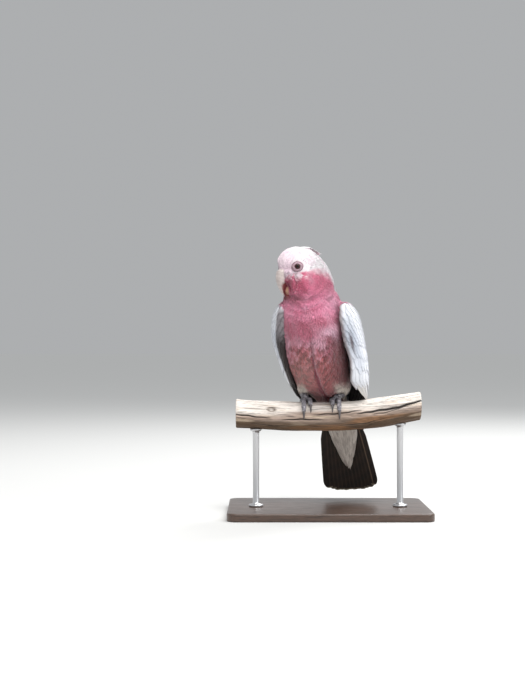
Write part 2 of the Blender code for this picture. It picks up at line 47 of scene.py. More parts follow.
HEAD_YAW, BODY_YAW = 62.0, 12.0  # turns of face and breast to the bird's right, in degrees
HEAD_AT = (-22.5, -13.0)  # the head's middle, x and y
FLESH = ("head", "neck", "trunk", "thigh_left", "thigh_right")
ARMS = ("wing_left_coverts", "wing_right_coverts")
HORN = ("bill_upper", "bill_lower")
EYES = ("eye_left", "eye_right")
SKIN_VOXEL, SMOOTHING = 1.3, 14  # pitch of the wrapping's mesh, and its rounds of smoothing
# Depth of the plumage at a height: feet, thighs, belly, breast, neck, cheeks, crown.
COAT_HEIGHTS = (146.0, 156.0, 172.0, 215.0, 255.0, 285.0, 300.0, 335.0)
COAT_DEPTHS = (0.7, 1.4, 2.7, 3.0, 2.8, 2.2, 1.5, 1.2)
ARM_DEPTH, FACE_THINNER = 1.5, 0.45  # depth on the wings' arms, and what the face lacks
CHEEK_STAND = 2.7  # how far the cheeks stand out over the sides of the bill
NECK_IN = (281.0, 7.0, 2.2)  # how the neck's left side is drawn in: height, reach, depth
# The throat's folds sag about their middle, an x; each is a step up from the first one, a
# rise and a reach.
FOLD_HEIGHT, FOLD_SAG, FOLD_MIDDLE = 261.0, 0.020, -22.0
THROAT_FOLDS = (
    (0.0, 1.9, 2.8), (-5.0, -1.7, 2.6), (10.0, 1.3, 2.4), (6.0, -1.1, 2.2), (-11.0, 0.9, 2.6)
)
# The parting down the belly: height, step to the bird's left of the middle, depth.
PARTING = ((234, 2.8, 0.0), (222, 2.3, 1.3), (205, 1.6, 2.7), (168, 0.8, 2.8), (144, 0.4, 1.8))
# The middle of rump, trunk, neck and head: height, x, y.
SPINE = (
    (108, 30.5, 51.0), (130, 23.5, 39.5), (142, 15.5, 28.5), (150, 9.5, 17.5),
    (163, 4.0, 6.0), (175, 0.5, 1.0), (193, -3.0, -3.0), (218, -6.0, -6.0),
    (254, -10.0, -9.0), (284, -15.0, -11.0), (301, -20.5, -12.5), (334, -26.0, -13.0),
)


def turned(forward, left, yaw):
    """A step forward and to the bird's left as x and y."""
    a = math.radians(yaw)
    return (
        -forward * math.sin(a) + left * math.cos(a),
        -forward * math.cos(a) - left * math.sin(a),
    )


def measured_from(points, middle, yaw):
    """How far each point lies forward and to the bird's left of a middle."""
    a = math.radians(yaw)
    dx, dy = points[:, 0] - middle[0], points[:, 1] - middle[1]
    return -dx * math.sin(a) - dy * math.cos(a), dx * math.cos(a) - dy * math.sin(a)


def read(rows, at, column):
    """One column of a table at given heights: smooth between rows, with no overshoot."""
    table = np.array(sorted(rows), float)
    x, y = table[:, 0], table[:, column]
    step, rise = np.diff(x), np.diff(y) / np.diff(x)
    same = rise[:-1] * rise[1:] > 0
    total = np.where(same, rise[:-1] + rise[1:], 1.0)
    slope = np.zeros_like(y)
    slope[1:-1] = np.where(same, 2 * rise[:-1] * rise[1:] / total, 0.0)
    slope[0], slope[-1] = rise[0], rise[-1]
    at = np.clip(np.asarray(at, float), x[0], x[-1])
    i = np.clip(np.searchsorted(x, at) - 1, 0, len(x) - 2)
    t = (at - x[i]) / step[i]
    near = (2 * t**3 - 3 * t**2 + 1) * y[i] + (t**3 - 2 * t**2 + t) * step[i] * slope[i]
    far = (3 * t**2 - 2 * t**3) * y[i + 1] + (t**3 - t**2) * step[i] * slope[i + 1]
    return near + far


def on_body(points):
    """How far each point lies forward and to the left of the body's middle line."""
    middle = read(SPINE, points[:, 2], 1), read(SPINE, points[:, 2], 2)
    return measured_from(points, middle, BODY_YAW)


def eased(low, high, value):
    """0 below low, 1 above high, and a smooth step between."""
    share = np.clip((np.asarray(value, float) - low) / (high - low), 0.0, 1.0)
    return share * share * (3.0 - 2.0 * share)


def hump(value, middle, reach):
    """1 at the middle, falling smoothly to nothing beyond the reach."""
    return np.exp(-(((value - middle) / reach) ** 2))


def merged(nodes):
    """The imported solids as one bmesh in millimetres, their loose triangles sewn."""
    bm = bmesh.new()
    for node in nodes:
        bm.from_mesh(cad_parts[node].data)
    bmesh.ops.remove_doubles(bm, verts=bm.verts, dist=1e-6)
    bmesh.ops.scale(bm, vec=(1 / MM, 1 / MM, 1 / MM), verts=bm.verts)
    return bm


def places(bm):
    """The corners of a bmesh as rows of x, y and height."""
    return np.array([v.co for v in bm.verts])


def put(bm, points):
    """Moves a bmesh's corners to new places."""
    for vertex, point in zip(bm.verts, points):
        vertex.co = point


def normals_of(bm):
    """The outward way at each corner."""
    bm.normal_update()
    return np.array([v.normal for v in bm.verts])


def object_from(bm, name):
    """Turns a bmesh in millimetres into a smooth object in metres."""
    bmesh.ops.scale(bm, vec=(MM, MM, MM), verts=bm.verts)
    mesh = bpy.data.meshes.new(name)
    bm.to_mesh(mesh)
    bm.free()
    mesh.shade_smooth()
    made = bpy.data.objects.new(name, mesh)
    bpy.context.scene.collection.objects.link(made)
    return made


def joined(pieces):
    """Several bmeshes as one."""
    whole = bmesh.new()
    for piece in pieces:
        holder = bpy.data.meshes.new("holder")
        piece.to_mesh(holder)
        whole.from_mesh(holder)
        bpy.data.meshes.remove(holder)
        piece.free()
    return whole


def wrapped(bm, voxel):
    """One even closed surface round all that the bmesh holds."""
    held = object_from(bm, "wrapping")
    wrap = held.modifiers.new("wrap", "REMESH")
    wrap.mode = "VOXEL"
    wrap.voxel_size = voxel * MM
    bm = bmesh.new()
    bm.from_object(held, bpy.context.evaluated_depsgraph_get())
    bmesh.ops.scale(bm, vec=(1 / MM, 1 / MM, 1 / MM), verts=bm.verts)
    bpy.data.objects.remove(held)
    return bm


def relaxed(bm, times):
    """Smooths a bmesh in place."""
    for _ in range(times):
        bmesh.ops.smooth_vert(
            bm, verts=bm.verts, factor=0.5, use_axis_x=True, use_axis_y=True, use_axis_z=True
        )


def distance_to(tree, points):
    """How far each point lies from a surface."""
    return np.array([tree.find_nearest(p)[3] for p in points])


def coat_depth(points, on_arm):
    """How deep the plumage stands on the skin at each place."""
    deep = np.interp(points[:, 2], COAT_HEIGHTS, COAT_DEPTHS)
    forward, _ = measured_from(points, HEAD_AT, HEAD_YAW)
    face = eased(12.0, 30.0, forward) * eased(262.0, 275.0, points[:, 2])
    return np.where(on_arm, np.minimum(deep, ARM_DEPTH), deep * (1.0 - FACE_THINNER * face))


# The slope from neck to shoulders and mantle, held up by long feathers' bases: height, then
# reach from the spine at each bearing from straight ahead.
SLOPE_BEARINGS = (0, 60, 75, 90, 120, 150, 180, 210, 240, 270, 285, 300, 360)
SLOPE = (
    (214, 26, 26, 28, 30, 30, 30, 30, 30, 30, 30, 28, 26, 26),
    (232, 26, 26, 30, 42, 46, 43, 40, 41, 43, 40, 30, 26, 26),
    (244, 26, 26, 34, 46, 49, 44, 41, 42, 45, 42, 32, 26, 26),
    (251, 26, 26, 35, 46, 48, 43, 40, 41, 44, 42, 33, 26, 26),
    (257, 26, 26, 34, 44, 46, 41, 38, 39, 42, 40, 32, 26, 26),
    (263, 26, 28, 35, 42, 42, 38, 36, 36, 38, 37, 32, 27, 26),
    (268, 26, 28, 33, 37, 37, 35, 33, 33, 34, 34, 31, 27, 26),
    (274, 26, 26, 28, 30, 30, 30, 30, 30, 30, 30, 28, 26, 26),
)
SLOPE_STEP = 7.5  # degrees from corner to corner of each ring


def slope():
    """The slope as a closed mound of rings."""
    bm = bmesh.new()
    rings = []
    turn = np.arange(0.0, 360.0, SLOPE_STEP)
    for height, *reaches in SLOPE:
        reach = np.interp(turn, SLOPE_BEARINGS, reaches)
        x, y = turned(reach * np.cos(np.radians(turn)), reach * np.sin(np.radians(turn)), BODY_YAW)
        x, y = x + read(SPINE, height, 1), y + read(SPINE, height, 2)
        rings.append([bm.verts.new((*spot, height)) for spot in zip(x, y)])
    for low, high in zip(rings, rings[1:]):
        for k in range(len(low)):
            after = (k + 1) % len(low)
            bm.faces.new((low[k], low[after], high[after], high[k]))
    bm.faces.new(rings[0][::-1])
    bm.faces.new(rings[-1])
    bmesh.ops.recalc_face_normals(bm, faces=bm.faces)
    return bm


def ruffles(points):
    """Folds across the throat, and the belly's parting with its full left lip."""
    ahead, left = on_body(points)
    height, x = points[:, 2], points[:, 0]
    in_front = eased(5.0, 20.0, ahead)
    fold = FOLD_HEIGHT + FOLD_SAG * (x - FOLD_MIDDLE) ** 2
    throat = sum(rise * hump(height, fold + step, reach) for step, rise, reach in THROAT_FOLDS)
    throat = throat * hump(x, -16.0, 24.0)
    off = left - read(PARTING, height, 1)
    deep = read(PARTING, height, 2)
    lips = deep * (0.45 * hump(off, 5.5, 3.6) + 0.15 * hump(off, -5.5, 3.6) - hump(off, 0.0, 2.4))
    return in_front * (throat + lips)


# How far forward the cheek's feathers reach over the bill: height, step forward.
CHEEK_EDGE = ((266, 17.5), (276, 21.0), (284, 22.5), (288, 26.0), (291, 29.0), (306, 30.0))


def cheek_puff(points):
    """The full cheek, whose feathers stand out over the sides of the bill."""
    forward, left = measured_from(points, HEAD_AT, HEAD_YAW)
    front = read(CHEEK_EDGE, points[:, 2], 1)
    puff = eased(11.0, 18.0, forward) * eased(0.6, -1.6, forward - front)
    puff *= eased(1.5, 5.0, np.abs(left)) * eased(17.0, 13.0, np.abs(left))
    return puff * eased(272.0, 278.0, points[:, 2]) * eased(305.0, 300.0, points[:, 2])


skin = wrapped(joined([merged(FLESH + ARMS + HORN + EYES), slope()]), SKIN_VOXEL)
relaxed(skin, SMOOTHING)
arm_tree, body_tree = BVHTree.FromBMesh(merged(ARMS)), BVHTree.FromBMesh(merged(FLESH))
spots = places(skin)
on_arm = distance_to(arm_tree, spots) < distance_to(body_tree, spots)
rise = ruffles(spots) - coat_depth(spots, on_arm) + CHEEK_STAND * cheek_puff(spots)
neck_at, neck_reach, neck_depth = NECK_IN
rise -= neck_depth * hump(spots[:, 2], neck_at, neck_reach) * eased(8.0, 24.0, on_body(spots)[1])
put(skin, spots + normals_of(skin) * rise[:, None])
relaxed(skin, 2)

# ---- Plumage of head and body -------------------------------------------------------------
# Contour feathers, each a soft closed vane of a few barb clumps that spring from one quill.
# They root in the skin in even rows, lie the way the plumage lies, and overlap like tiles.
SHANKS = ("shank_left", "shank_right")
PATCH = 0.003  # the side of each feather's patch on the OFBake map


def srgb(red, green, blue_shade):
    """A colour as it looks, 0 to 255, as the linear colour that a shader takes."""
    values = np.array((red, green, blue_shade)) / 255.0
    return np.where(values <= 0.04045, values / 12.92, ((values + 0.055) / 1.055) ** 2.4)


CROWN, CROWN_SHADE = srgb(255, 246, 250), srgb(224, 196, 210)
ROSE, ROSE_DEEP = srgb(222, 112, 144), srgb(174, 62, 90)
NECK, BREAST = srgb(234, 140, 172), srgb(188, 104, 126)
LILAC, BELLY = srgb(232, 192, 212), srgb(176, 94, 96)
BROWN, WINE = srgb(92, 50, 48), srgb(104, 38, 46)
VENT, THIGH = srgb(222, 210, 200), srgb(172, 158, 150)
MANTLE, RUMP, WHITE = srgb(148, 148, 153), srgb(205, 205, 208), srgb(226, 228, 234)
WING_SHADE, GAPE_SHADOW = srgb(92, 40, 46), srgb(110, 40, 42)
# Where the white cap meets the rosy cheek: step forward of the head's middle, height.
CAP_EDGE = (
    (-37, 278), (-33, 284), (-28, 293), (-20, 300), (-8, 304), (2, 304), (9, 301), (18, 299), (28, 295)
)
MOUTH_HALF, MOUTH_LOW, MOUTH_HIGH = 9.0, 273.0, 299.0  # the gape between the cheeks
# Painted highlights, pale patches where light falls on the breast: x, height, reach along x,
# reach in height, strength.
PAINTED_HIGHLIGHT_PATCHES = (
    (9.0, 235.0, 10.0, 8.0, 0.8), (-9.0, 219.0, 9.0, 9.0, 0.55), (-36.0, 222.0, 9.0, 7.0, 0.45)
)


def mixed(first, second, share):
    """A first colour with a share, 0 to 1, of a second one."""
    share = np.asarray(share, float)[..., None]
    return np.asarray(first) * (1.0 - share) + np.asarray(second) * share


def washed(colour, *washes):
    """A colour with others laid over it in turn, each given with its strength, 0 to 1."""
    for over, strength in washes:
        colour = mixed(colour, over, strength)
    return colour


def lumps(points, size, seed):
    """Soft random lumps, about -1 to 1 and about that size, from crossing waves."""
    dice = np.random.default_rng(seed)
    ways = dice.normal(size=(7, 3))
    ways /= np.linalg.norm(ways, axis=1)[:, None]
    pitch = dice.uniform(0.7, 1.4, 7) * math.pi / size
    start = dice.uniform(0.0, 2 * math.pi, 7)
    return np.sin(points @ (ways * pitch[:, None]).T + start).sum(axis=1) / 2.6


def on_arms(points):
    """1 on the wings' arms, 0 on the body."""
    return 1.0 * (distance_to(arm_tree, points) < distance_to(body_tree, points) + 0.4)


def eye_tufts(points):
    """Small pale curls in a row under each eye."""
    forward, _ = measured_from(points, HEAD_AT, HEAD_YAW)
    row = hump(points[:, 2], 296.8 + 0.15 * (forward - 15.0), 3.8) * hump(forward, 18.5, 8.5)
    return row * eased(-0.7, 0.3, lumps(points, 2.6, 17))


def plumage(points):
    """The colour of the plumage at each place on the body."""
    ahead, left = on_body(points)
    face_on, face_left = measured_from(points, HEAD_AT, HEAD_YAW)
    height, x = points[:, 2], points[:, 0]
    front = eased(-14.0, 10.0, ahead)
    # Rose cheeks and throat, then a duller breast with pale patches of painted highlight and a mottled
    # belly.
    pale = sum(
        hump(x, at_x, reach_x) * hump(height, at_height, reach_height) * strength
        for at_x, at_height, reach_x, reach_height, strength in PAINTED_HIGHLIGHT_PATCHES
    )
    mottle, raised = lumps(points, 3.0, 8), ruffles(points)
    marks = eased(0.0, 0.7, mottle) * eased(236.0, 214.0, height)
    glow = eased(-0.2, -0.9, mottle) * eased(230.0, 208.0, height)
    lores = hump(face_on, 25.0, 5.0) * hump(height, 290.0, 8.0)
    jaw = hump(face_on - 0.5 * (height - 284.0), 14.0, 2.2) * hump(height, 283.0, 9.0)
    off = left - read(PARTING, height, 1)
    cleft = read(PARTING, height, 2) / 2.6 * eased(240.0, 230.0, height)
    colour = washed(
        ROSE,
        (NECK, eased(290.0, 268.0, height)),
        (ROSE_DEEP, 0.55 * hump(height, 286.0, 10.0) * hump(face_on, 22.0, 10.0)),
        (BREAST, eased(262.0, 240.0, height)),
        # Painted highlights on the breast, over a little random lilac.
        (LILAC, np.clip(pale + 0.16 * lumps(points, 9.0, 3), 0.0, 0.85)),
        (BELLY, eased(226.0, 196.0, height + 5.0 * lumps(points, 16.0, 5))),
        (BROWN, 0.62 * marks),
        (LILAC, 0.28 * glow * eased(180.0, 205.0, height)),
        # Painted shade in front of the eye and along the jaw.
        (ROSE_DEEP * 0.75, np.clip(0.7 * lores + 0.55 * jaw, 0.0, 0.9)),
        # The belly's parting: painted shade in its cleft, and a painted highlight on its left lip.
        (WINE * 0.5, 0.8 * cleft * hump(off, -0.5, 1.6)),
        (LILAC * 0.9, 0.3 * cleft * hump(off, 2.8, 2.0) * eased(150.0, 185.0, height)),
        # Folds: painted shade in their hollows, painted highlight on their crests.
        (ROSE_DEEP * 0.8, np.clip(-0.34 * raised, 0.0, 0.6)),
        (LILAC, np.clip(0.10 * raised, 0.0, 0.25)),
        # Painted highlight on the right of the neck, where the light falls.
        (LILAC, 0.40 * hump(x, 12.0, 9.0) * hump(height, 270.0, 13.0)),
        # Painted shade across the upper breast, below the throat's folds.
        (ROSE_DEEP * 0.7, 0.35 * hump(x, -13.0, 13.0) * hump(height, 242.0, 6.0)),
        # Painted shade low on the belly, towards the perch.
        (WINE, 0.5 * eased(172.0, 152.0, height)),
    )
    back = mixed(NECK, MANTLE, eased(272.0, 255.0, height + 3.0 * lumps(points, 9.0, 6)))
    back = mixed(back, RUMP, eased(200.0, 160.0, height))
    # The white cap, and the white curls under the eye.
    edge = read(CAP_EDGE, face_on, 1) + 2.2 * lumps(points, 6.0, 4)
    soft = 1.0 + 1.6 * eased(10.0, 0.0, face_on)
    white = np.maximum(eased(-2.5, 2.5, (height - edge) / soft), 0.92 * eye_tufts(points))
    # The cap darkens a little in soft random blotches, and with painted shade over the forehead's
    # front.
    cap = washed(
        CROWN,
        (CROWN_SHADE, 0.35 * eased(0.1, 1.0, lumps(points, 5.0, 7))),
        (CROWN_SHADE, 0.8 * hump(face_on, 26.0, 6.0) * hump(height, 303.0, 6.0)),
        (CROWN_SHADE, 0.5 * eased(16.0, 30.0, face_on)),
    )
    # Painted shade beside the wings, painted shadow in the gape and painted shade under the chin, and
    # the pale vent and thighs.
    shaded = eased(24.0, 34.0, -left) * 0.2 + eased(10.0, 30.0, left) * 0.75
    gape_shadow = eased(0.0, 1.5, face_on - read(CHEEK_EDGE, height, 1)) * (np.abs(face_left) < MOUTH_HALF)
    gape_shadow = gape_shadow * eased(268.0, 272.0, height) * eased(292.0, 288.0, height)
    chin_shade = hump(face_on, 18.0, 7.0) * hump(height, 272.0, 7.0) * 0.6
    flank = eased(176.0, 160.0, height) * eased(16.0, 24.0, np.abs(left))
    flank = np.maximum(flank, eased(146.0, 138.0, height))
    # On the wings' arms: white in front and grey behind, and pink where the neck begins.
    shoulder = mixed(WHITE, MANTLE, eased(0.0, -25.0, ahead))
    pink = eased(262.5, 270.0, height + 2.5 * lumps(points, 5.0, 24))
    return washed(
        mixed(back, colour, front),
        (cap, white),
        (VENT, 0.14 * hump(x, -24.0, 13.0) * hump(height, 180.0, 22.0)),
        (WING_SHADE, shaded * eased(240.0, 222.0, height) * front),
        (GAPE_SHADOW, np.maximum(gape_shadow, chin_shade)),
        (mixed(VENT, THIGH, eased(0.0, 1.0, lumps(points, 7.0, 9))), flank),
        (mixed(shoulder, NECK, pink), on_arms(points) * eased(246.0, 252.0, height)),
    )


def lie_of_plumage(points, normals):
    """The way feathers lie at each place: back from the bill, then down the body."""
    ahead, left = on_body(points)
    face_on, _ = measured_from(points, HEAD_AT, HEAD_YAW)
    bill = np.array((*np.add(HEAD_AT, turned(32.0, 0.0, HEAD_YAW)), 297.0))
    away = points - bill
    away /= np.linalg.norm(away, axis=1)[:, None]
    away[:, 2] -= 0.15 + 0.9 * eased(8.0, -22.0, face_on)
    down = np.tile((0.10, 0.22, -1.0), (len(points), 1))
    off = left - read(PARTING, points[:, 2], 1)
    gather = -np.sign(off) * hump(np.abs(off), 7.0, 6.0) * eased(5.0, 20.0, ahead) * 0.35
    gather = gather * eased(238.0, 215.0, points[:, 2])
    side_x, side_y = turned(0.0, 1.0, BODY_YAW)
    down[:, 0] += gather * side_x
    down[:, 1] += gather * side_y
    middle = np.stack([read(SPINE, points[:, 2], 1), read(SPINE, points[:, 2], 2)], axis=1)
    outward = points[:, :2] - middle
    outward /= np.linalg.norm(outward, axis=1)[:, None]
    down[:, :2] += outward * (0.8 * hump(points[:, 2], 264.0, 8.0))[:, None]
    on_head = eased(266.0, 286.0, points[:, 2])[:, None]
    way = away * on_head + down * (1.0 - on_head)
    over_bill = np.array((*turned(0.8, 0.0, HEAD_YAW), -0.75))
    puffed = np.clip(1.6 * cheek_puff(points), 0.0, 1.0)[:, None]
    way = way * (1.0 - puffed) + over_bill * puffed
    way[:, 2:] -= 3.2 * puffed * (1.0 - puffed)
    way -= normals * np.sum(way * normals, axis=1)[:, None]
    return way / np.linalg.norm(way, axis=1)[:, None]


def leaf(bm, rings, length, width, thickness, turn, start):
    """Adds one closed leaf, from its foot at a step along the quill to its tip."""
    made = bmesh.ops.create_uvsphere(bm, u_segments=4, v_segments=rings, radius=1.0)["verts"]
    bmesh.ops.rotate(bm, verts=made, matrix=Matrix.Rotation(math.radians(90), 3, "X"))
    bmesh.ops.translate(bm, verts=made, vec=(0.0, 1.0, 0.0))
    for vertex in made:
        share = vertex.co.y / 2.0
        vertex.co.y = 2.0 * share**0.8
    bmesh.ops.scale(bm, verts=made, vec=(width / 2.0, length / 2.0, thickness))
    bmesh.ops.rotate(bm, verts=made, matrix=Matrix.Rotation(math.radians(turn), 3, "Z"))
    bmesh.ops.translate(bm, verts=made, vec=(0.0, start, 0.0))


def soft_feather():
    """A contour feather lying along Y from 0 to 1, about 1 wide: a vane and four clumps."""
    bm = bmesh.new()
    leaf(bm, 4, 1.0, 0.46, 0.5, 0.0, 0.0)
    for side in (-1, 1):
        leaf(bm, 2, 0.86, 0.30, 0.4, side * 13.0, 0.08)
        leaf(bm, 2, 0.68, 0.28, 0.4, side * 27.0, 0.16)
    return bm


def fine_feather():
    """A tiny feather of the face: three narrow leaves."""
    bm = bmesh.new()
    leaf(bm, 2, 1.0, 0.5, 0.5, 0.0, 0.0)
    for side in (-1, 1):
        leaf(bm, 2, 0.82, 0.4, 0.4, side * 20.0, 0.05)
    return bm


def blank_of(bm):
    """A feather's corners and faces, as arrays to be laid many times."""
    bm.verts.index_update()
    corners = places(bm)
    faces = [[v.index for v in face.verts] for face in bm.faces]
    bm.free()
    return corners, faces


class Ground:
    """A surface that feathers root in, with its normals smoothed over each face."""

    def __init__(self, bm):
        bm.verts.index_update()
        bm.faces.ensure_lookup_table()
        self.tree = BVHTree.FromBMesh(bm)
        soft = normals_of(bm)
        self.normal = np.array([soft[[v.index for v in f.verts]].mean(axis=0) for f in bm.faces])
        self.normal /= np.linalg.norm(self.normal, axis=1)[:, None]
        split = bm.calc_loop_triangles()
        self.corners = np.array([[loop.vert.co for loop in three] for three in split])

    def nearest(self, points):
        """The nearest places on the surface, and the outward ways there."""
        found = [self.tree.find_nearest(p) for p in points]
        return np.array([f[0] for f in found]), self.normal[[f[2] for f in found]]

    def roots(self, spacing, seed):
        """Places for quills, random but evenly apart."""
        dice = np.random.default_rng(seed)
        a, b, c = self.corners[:, 0], self.corners[:, 1], self.corners[:, 2]
        area = np.linalg.norm(np.cross(b - a, c - a), axis=1) / 2
        count = int(area.sum() * 3.2 / spacing**2)
        pick = dice.choice(len(area), count, p=area / area.sum())
        u, v = dice.random((2, count, 1))
        over = u + v > 1
        u, v = np.where(over, 1 - u, u), np.where(over, 1 - v, v)
        found = a[pick] + (b - a)[pick] * u + (c - a)[pick] * v
        for shift in (0.0, 0.5):
            cell = np.floor(found / spacing + shift).astype(int)
            found = found[np.sort(np.unique(cell, axis=0, return_index=True)[1])]
        return found


PATH_STEPS = 4


def paths_over(ground, roots, lengths, lie):
    """Each feather's middle line over the ground: stations, normals and ways along it."""
    at, stations = roots, []
    for _ in range(PATH_STEPS + 1):
        at, normal = ground.nearest(at)
        way = lie(at, normal)
        stations.append((at, normal, way))
        at = at + way * (lengths / PATH_STEPS)[:, None]
    return [np.array(part) for part in zip(*stations)]


def shared_group(name, inputs, outputs):
    """A shader node group with named inputs and outputs."""
    group = bpy.data.node_groups.new(name, "ShaderNodeTree")
    for way, sockets in (("INPUT", inputs), ("OUTPUT", outputs)):
        for label, kind in sockets.items():
            group.interface.new_socket(name=label, in_out=way, socket_type="NodeSocket" + kind)
    return group, group.nodes.new("NodeGroupInput").outputs, group.nodes.new("NodeGroupOutput").inputs


def sums(tree, operation, *values):
    """One step of arithmetic in a node tree."""
    node = tree.nodes.new("ShaderNodeMath")
    node.operation = operation
    for socket, value in zip([s for s in node.inputs if s.enabled], values):
        if isinstance(value, bpy.types.NodeSocket):
            tree.links.new(value, socket)
        else:
            socket.default_value = value
    return node.outputs[0]


def noise(tree, place, size, detail, stretch=(1.0, 1.0, 1.0)):
    """Cloudy noise in a node tree: its grains measure about one size, in metres."""
    fitted = tree.nodes.new("ShaderNodeMapping")
    fitted.inputs["Scale"].default_value = stretch
    tree.links.new(place, fitted.inputs["Vector"])
    cloud = tree.nodes.new("ShaderNodeTexNoise")
    cloud.inputs["Scale"].default_value = 1.0 / size
    cloud.inputs["Detail"].default_value = detail
    tree.links.new(fitted.outputs["Vector"], cloud.inputs["Vector"])
    return cloud.outputs["Fac"]


def toned(tree, colour, amount):
    """A colour made lighter or darker by a varying amount."""
    node = tree.nodes.new("ShaderNodeVectorMath")
    node.operation = "SCALE"
    tree.links.new(colour, node.inputs[0])
    tree.links.new(amount, node.inputs["Scale"])
    return node.outputs[0]


# The feathers' finish: keratin barbs slant off each quill at both sides, and show as fine
# lines and blotches in the feather's own colour.
barbs, given, out = shared_group(
    "barbs",
    {"Vane": "Vector", "Place": "Vector", "Colour": "Color", "Barbs": "Float", "Contrast": "Float"},
    {"Colour": "Color", "Height": "Float"},
)
parts = barbs.nodes.new("ShaderNodeSeparateXYZ")
barbs.links.new(given["Vane"], parts.inputs[0])
across = sums(barbs, "ABSOLUTE", sums(barbs, "SUBTRACT", parts.outputs["X"], 0.5))
slant = sums(barbs, "SUBTRACT", parts.outputs["Y"], sums(barbs, "MULTIPLY", across, 0.55))
wander = sums(barbs, "MULTIPLY", noise(barbs, given["Place"], 0.004, 2.0), 2.5)
phase = sums(barbs, "MULTIPLY_ADD", slant, given["Barbs"], wander)
line = sums(barbs, "SINE", sums(barbs, "MULTIPLY", phase, 2 * math.pi))
blotch = sums(barbs, "SUBTRACT", noise(barbs, given["Place"], 0.0016, 3.0), 0.5)
tone = sums(barbs, "MULTIPLY_ADD", line, 0.35, sums(barbs, "MULTIPLY", blotch, 1.6))
tone = sums(barbs, "MULTIPLY_ADD", tone, given["Contrast"], 1.0)
barbs.links.new(toned(barbs, given["Colour"], tone), out["Colour"])
barbs.links.new(line, out["Height"])


def new_finish(name, roughness, **sockets):
    """A material with its constants set on the shader's own sockets."""
    made = bpy.data.materials.new(name)
    made.use_nodes = True
    shader = made.node_tree.nodes["Principled BSDF"]
    shader.inputs["Roughness"].default_value = roughness
    for socket, value in sockets.items():
        shader.inputs[socket.replace("_", " ")].default_value = value
    return made, made.node_tree, shader


def placed(tree, group, **values):
    """A shared group in a material, with its own values or links."""
    node = tree.nodes.new("ShaderNodeGroup")
    node.node_tree = group
    for socket, value in values.items():
        if isinstance(value, bpy.types.NodeSocket):
            tree.links.new(value, node.inputs[socket])
        else:
            node.inputs[socket].default_value = value
    return node.outputs


def source(tree, kind, output, **settings):
    """An output of a node that a material reads, such as an attribute or a UV map."""
    node = tree.nodes.new("ShaderNode" + kind)
    for setting, value in settings.items():
        setattr(node, setting, value)
    return node.outputs[output]


def bumped(tree, shader, height, depth, strength=1.0):
    """A raised surface pattern, its full height given in metres."""
    bump = tree.nodes.new("ShaderNodeBump")
    bump.inputs["Distance"].default_value = depth
    bump.inputs["Strength"].default_value = strength
    tree.links.new(height, bump.inputs["Height"])
    tree.links.new(bump.outputs["Normal"], shader.inputs["Normal"])


def feather_finish(name, barb_count, contrast, roughness, sheen):
    """Each feather's own colour with its barbs as fine slanting lines and a soft dull sheen."""
    made, tree, shader = new_finish(
        name, roughness, Sheen_Weight=sheen, Sheen_Roughness=0.5, Specular_IOR_Level=0.25
    )
    out = placed(
        tree,
        barbs,
        Vane=source(tree, "UVMap", "UV", uv_map="vane"),
        Place=source(tree, "TexCoord", "Object"),
        Colour=source(tree, "Attribute", "Color", attribute_name="plumage"),
        Barbs=barb_count,
        Contrast=contrast,
    )
    tree.links.new(out["Colour"], shader.inputs["Base Color"])
    bumped(tree, shader, out["Height"], 0.00006, 0.6)
    return made


def painted(mesh, name, colours):
    """Gives a mesh a colour of its own at each corner."""
    opaque = np.concatenate([np.clip(colours, 0.0, 1.0), np.ones((len(colours), 1))], axis=1)
    paint = mesh.color_attributes.new(name, "FLOAT_COLOR", "POINT")
    paint.data.foreach_set("color", opaque.ravel())


def feather_mesh(name, blank, points, tints, unwrap, finish):
    """One piece from the corners of many feathers: points and tints by feather, by corner."""
    corners, faces = blank
    points, tints, unwrap = np.array(points), np.array(tints), np.array(unwrap)
    count, each = points.shape[:2]
    mesh = bpy.data.meshes.new(name)
    mesh.vertices.add(count * each)
    mesh.vertices.foreach_set("co", (points * MM).ravel())
    sides, flat = np.array([len(face) for face in faces]), np.concatenate(faces)
    shift = np.arange(count)[:, None]
    loops = (flat[None] + each * shift).ravel()
    starts = (np.concatenate([[0], np.cumsum(sides)[:-1]])[None] + len(flat) * shift).ravel()
    mesh.loops.add(len(loops))
    mesh.loops.foreach_set("vertex_index", loops)
    mesh.polygons.add(len(starts))
    mesh.polygons.foreach_set("loop_start", starts)
    mesh.update(calc_edges=True)
    mesh.shade_smooth()
    mesh.materials.append(finish)
    painted(mesh, "plumage", tints.reshape(-1, 3))
    vane = np.stack([corners[flat, 0] + 0.5, corners[flat, 1]], axis=1)
    baked = (unwrap[:, None] + (vane - 0.5)[None] * PATCH).reshape(-1, 2)
    for layer, values in (("OFBake", baked), ("vane", np.tile(vane, (count, 1)))):
        mesh.uv_layers.new(name=layer).data.foreach_set("uv", values.ravel())
    made = bpy.data.objects.new(name, mesh)
    bpy.context.scene.collection.objects.link(made)
    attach(made, "root")
    return made


def graded(blank, root, tip, edge=None, power=1.5):
    """Tints from each feather's root to its tip and, if one is given, towards its edges."""
    across, share = blank[0][:, 0], np.clip(blank[0][:, 1], 0.0, 1.0)
    tint = root[:, None] + (tip - root)[:, None] * (share**power)[None, :, None]
    if edge is not None:
        tint = tint + (edge[:, None] - tint) * (np.abs(2 * across) ** 3)[None, :, None]
    return tint


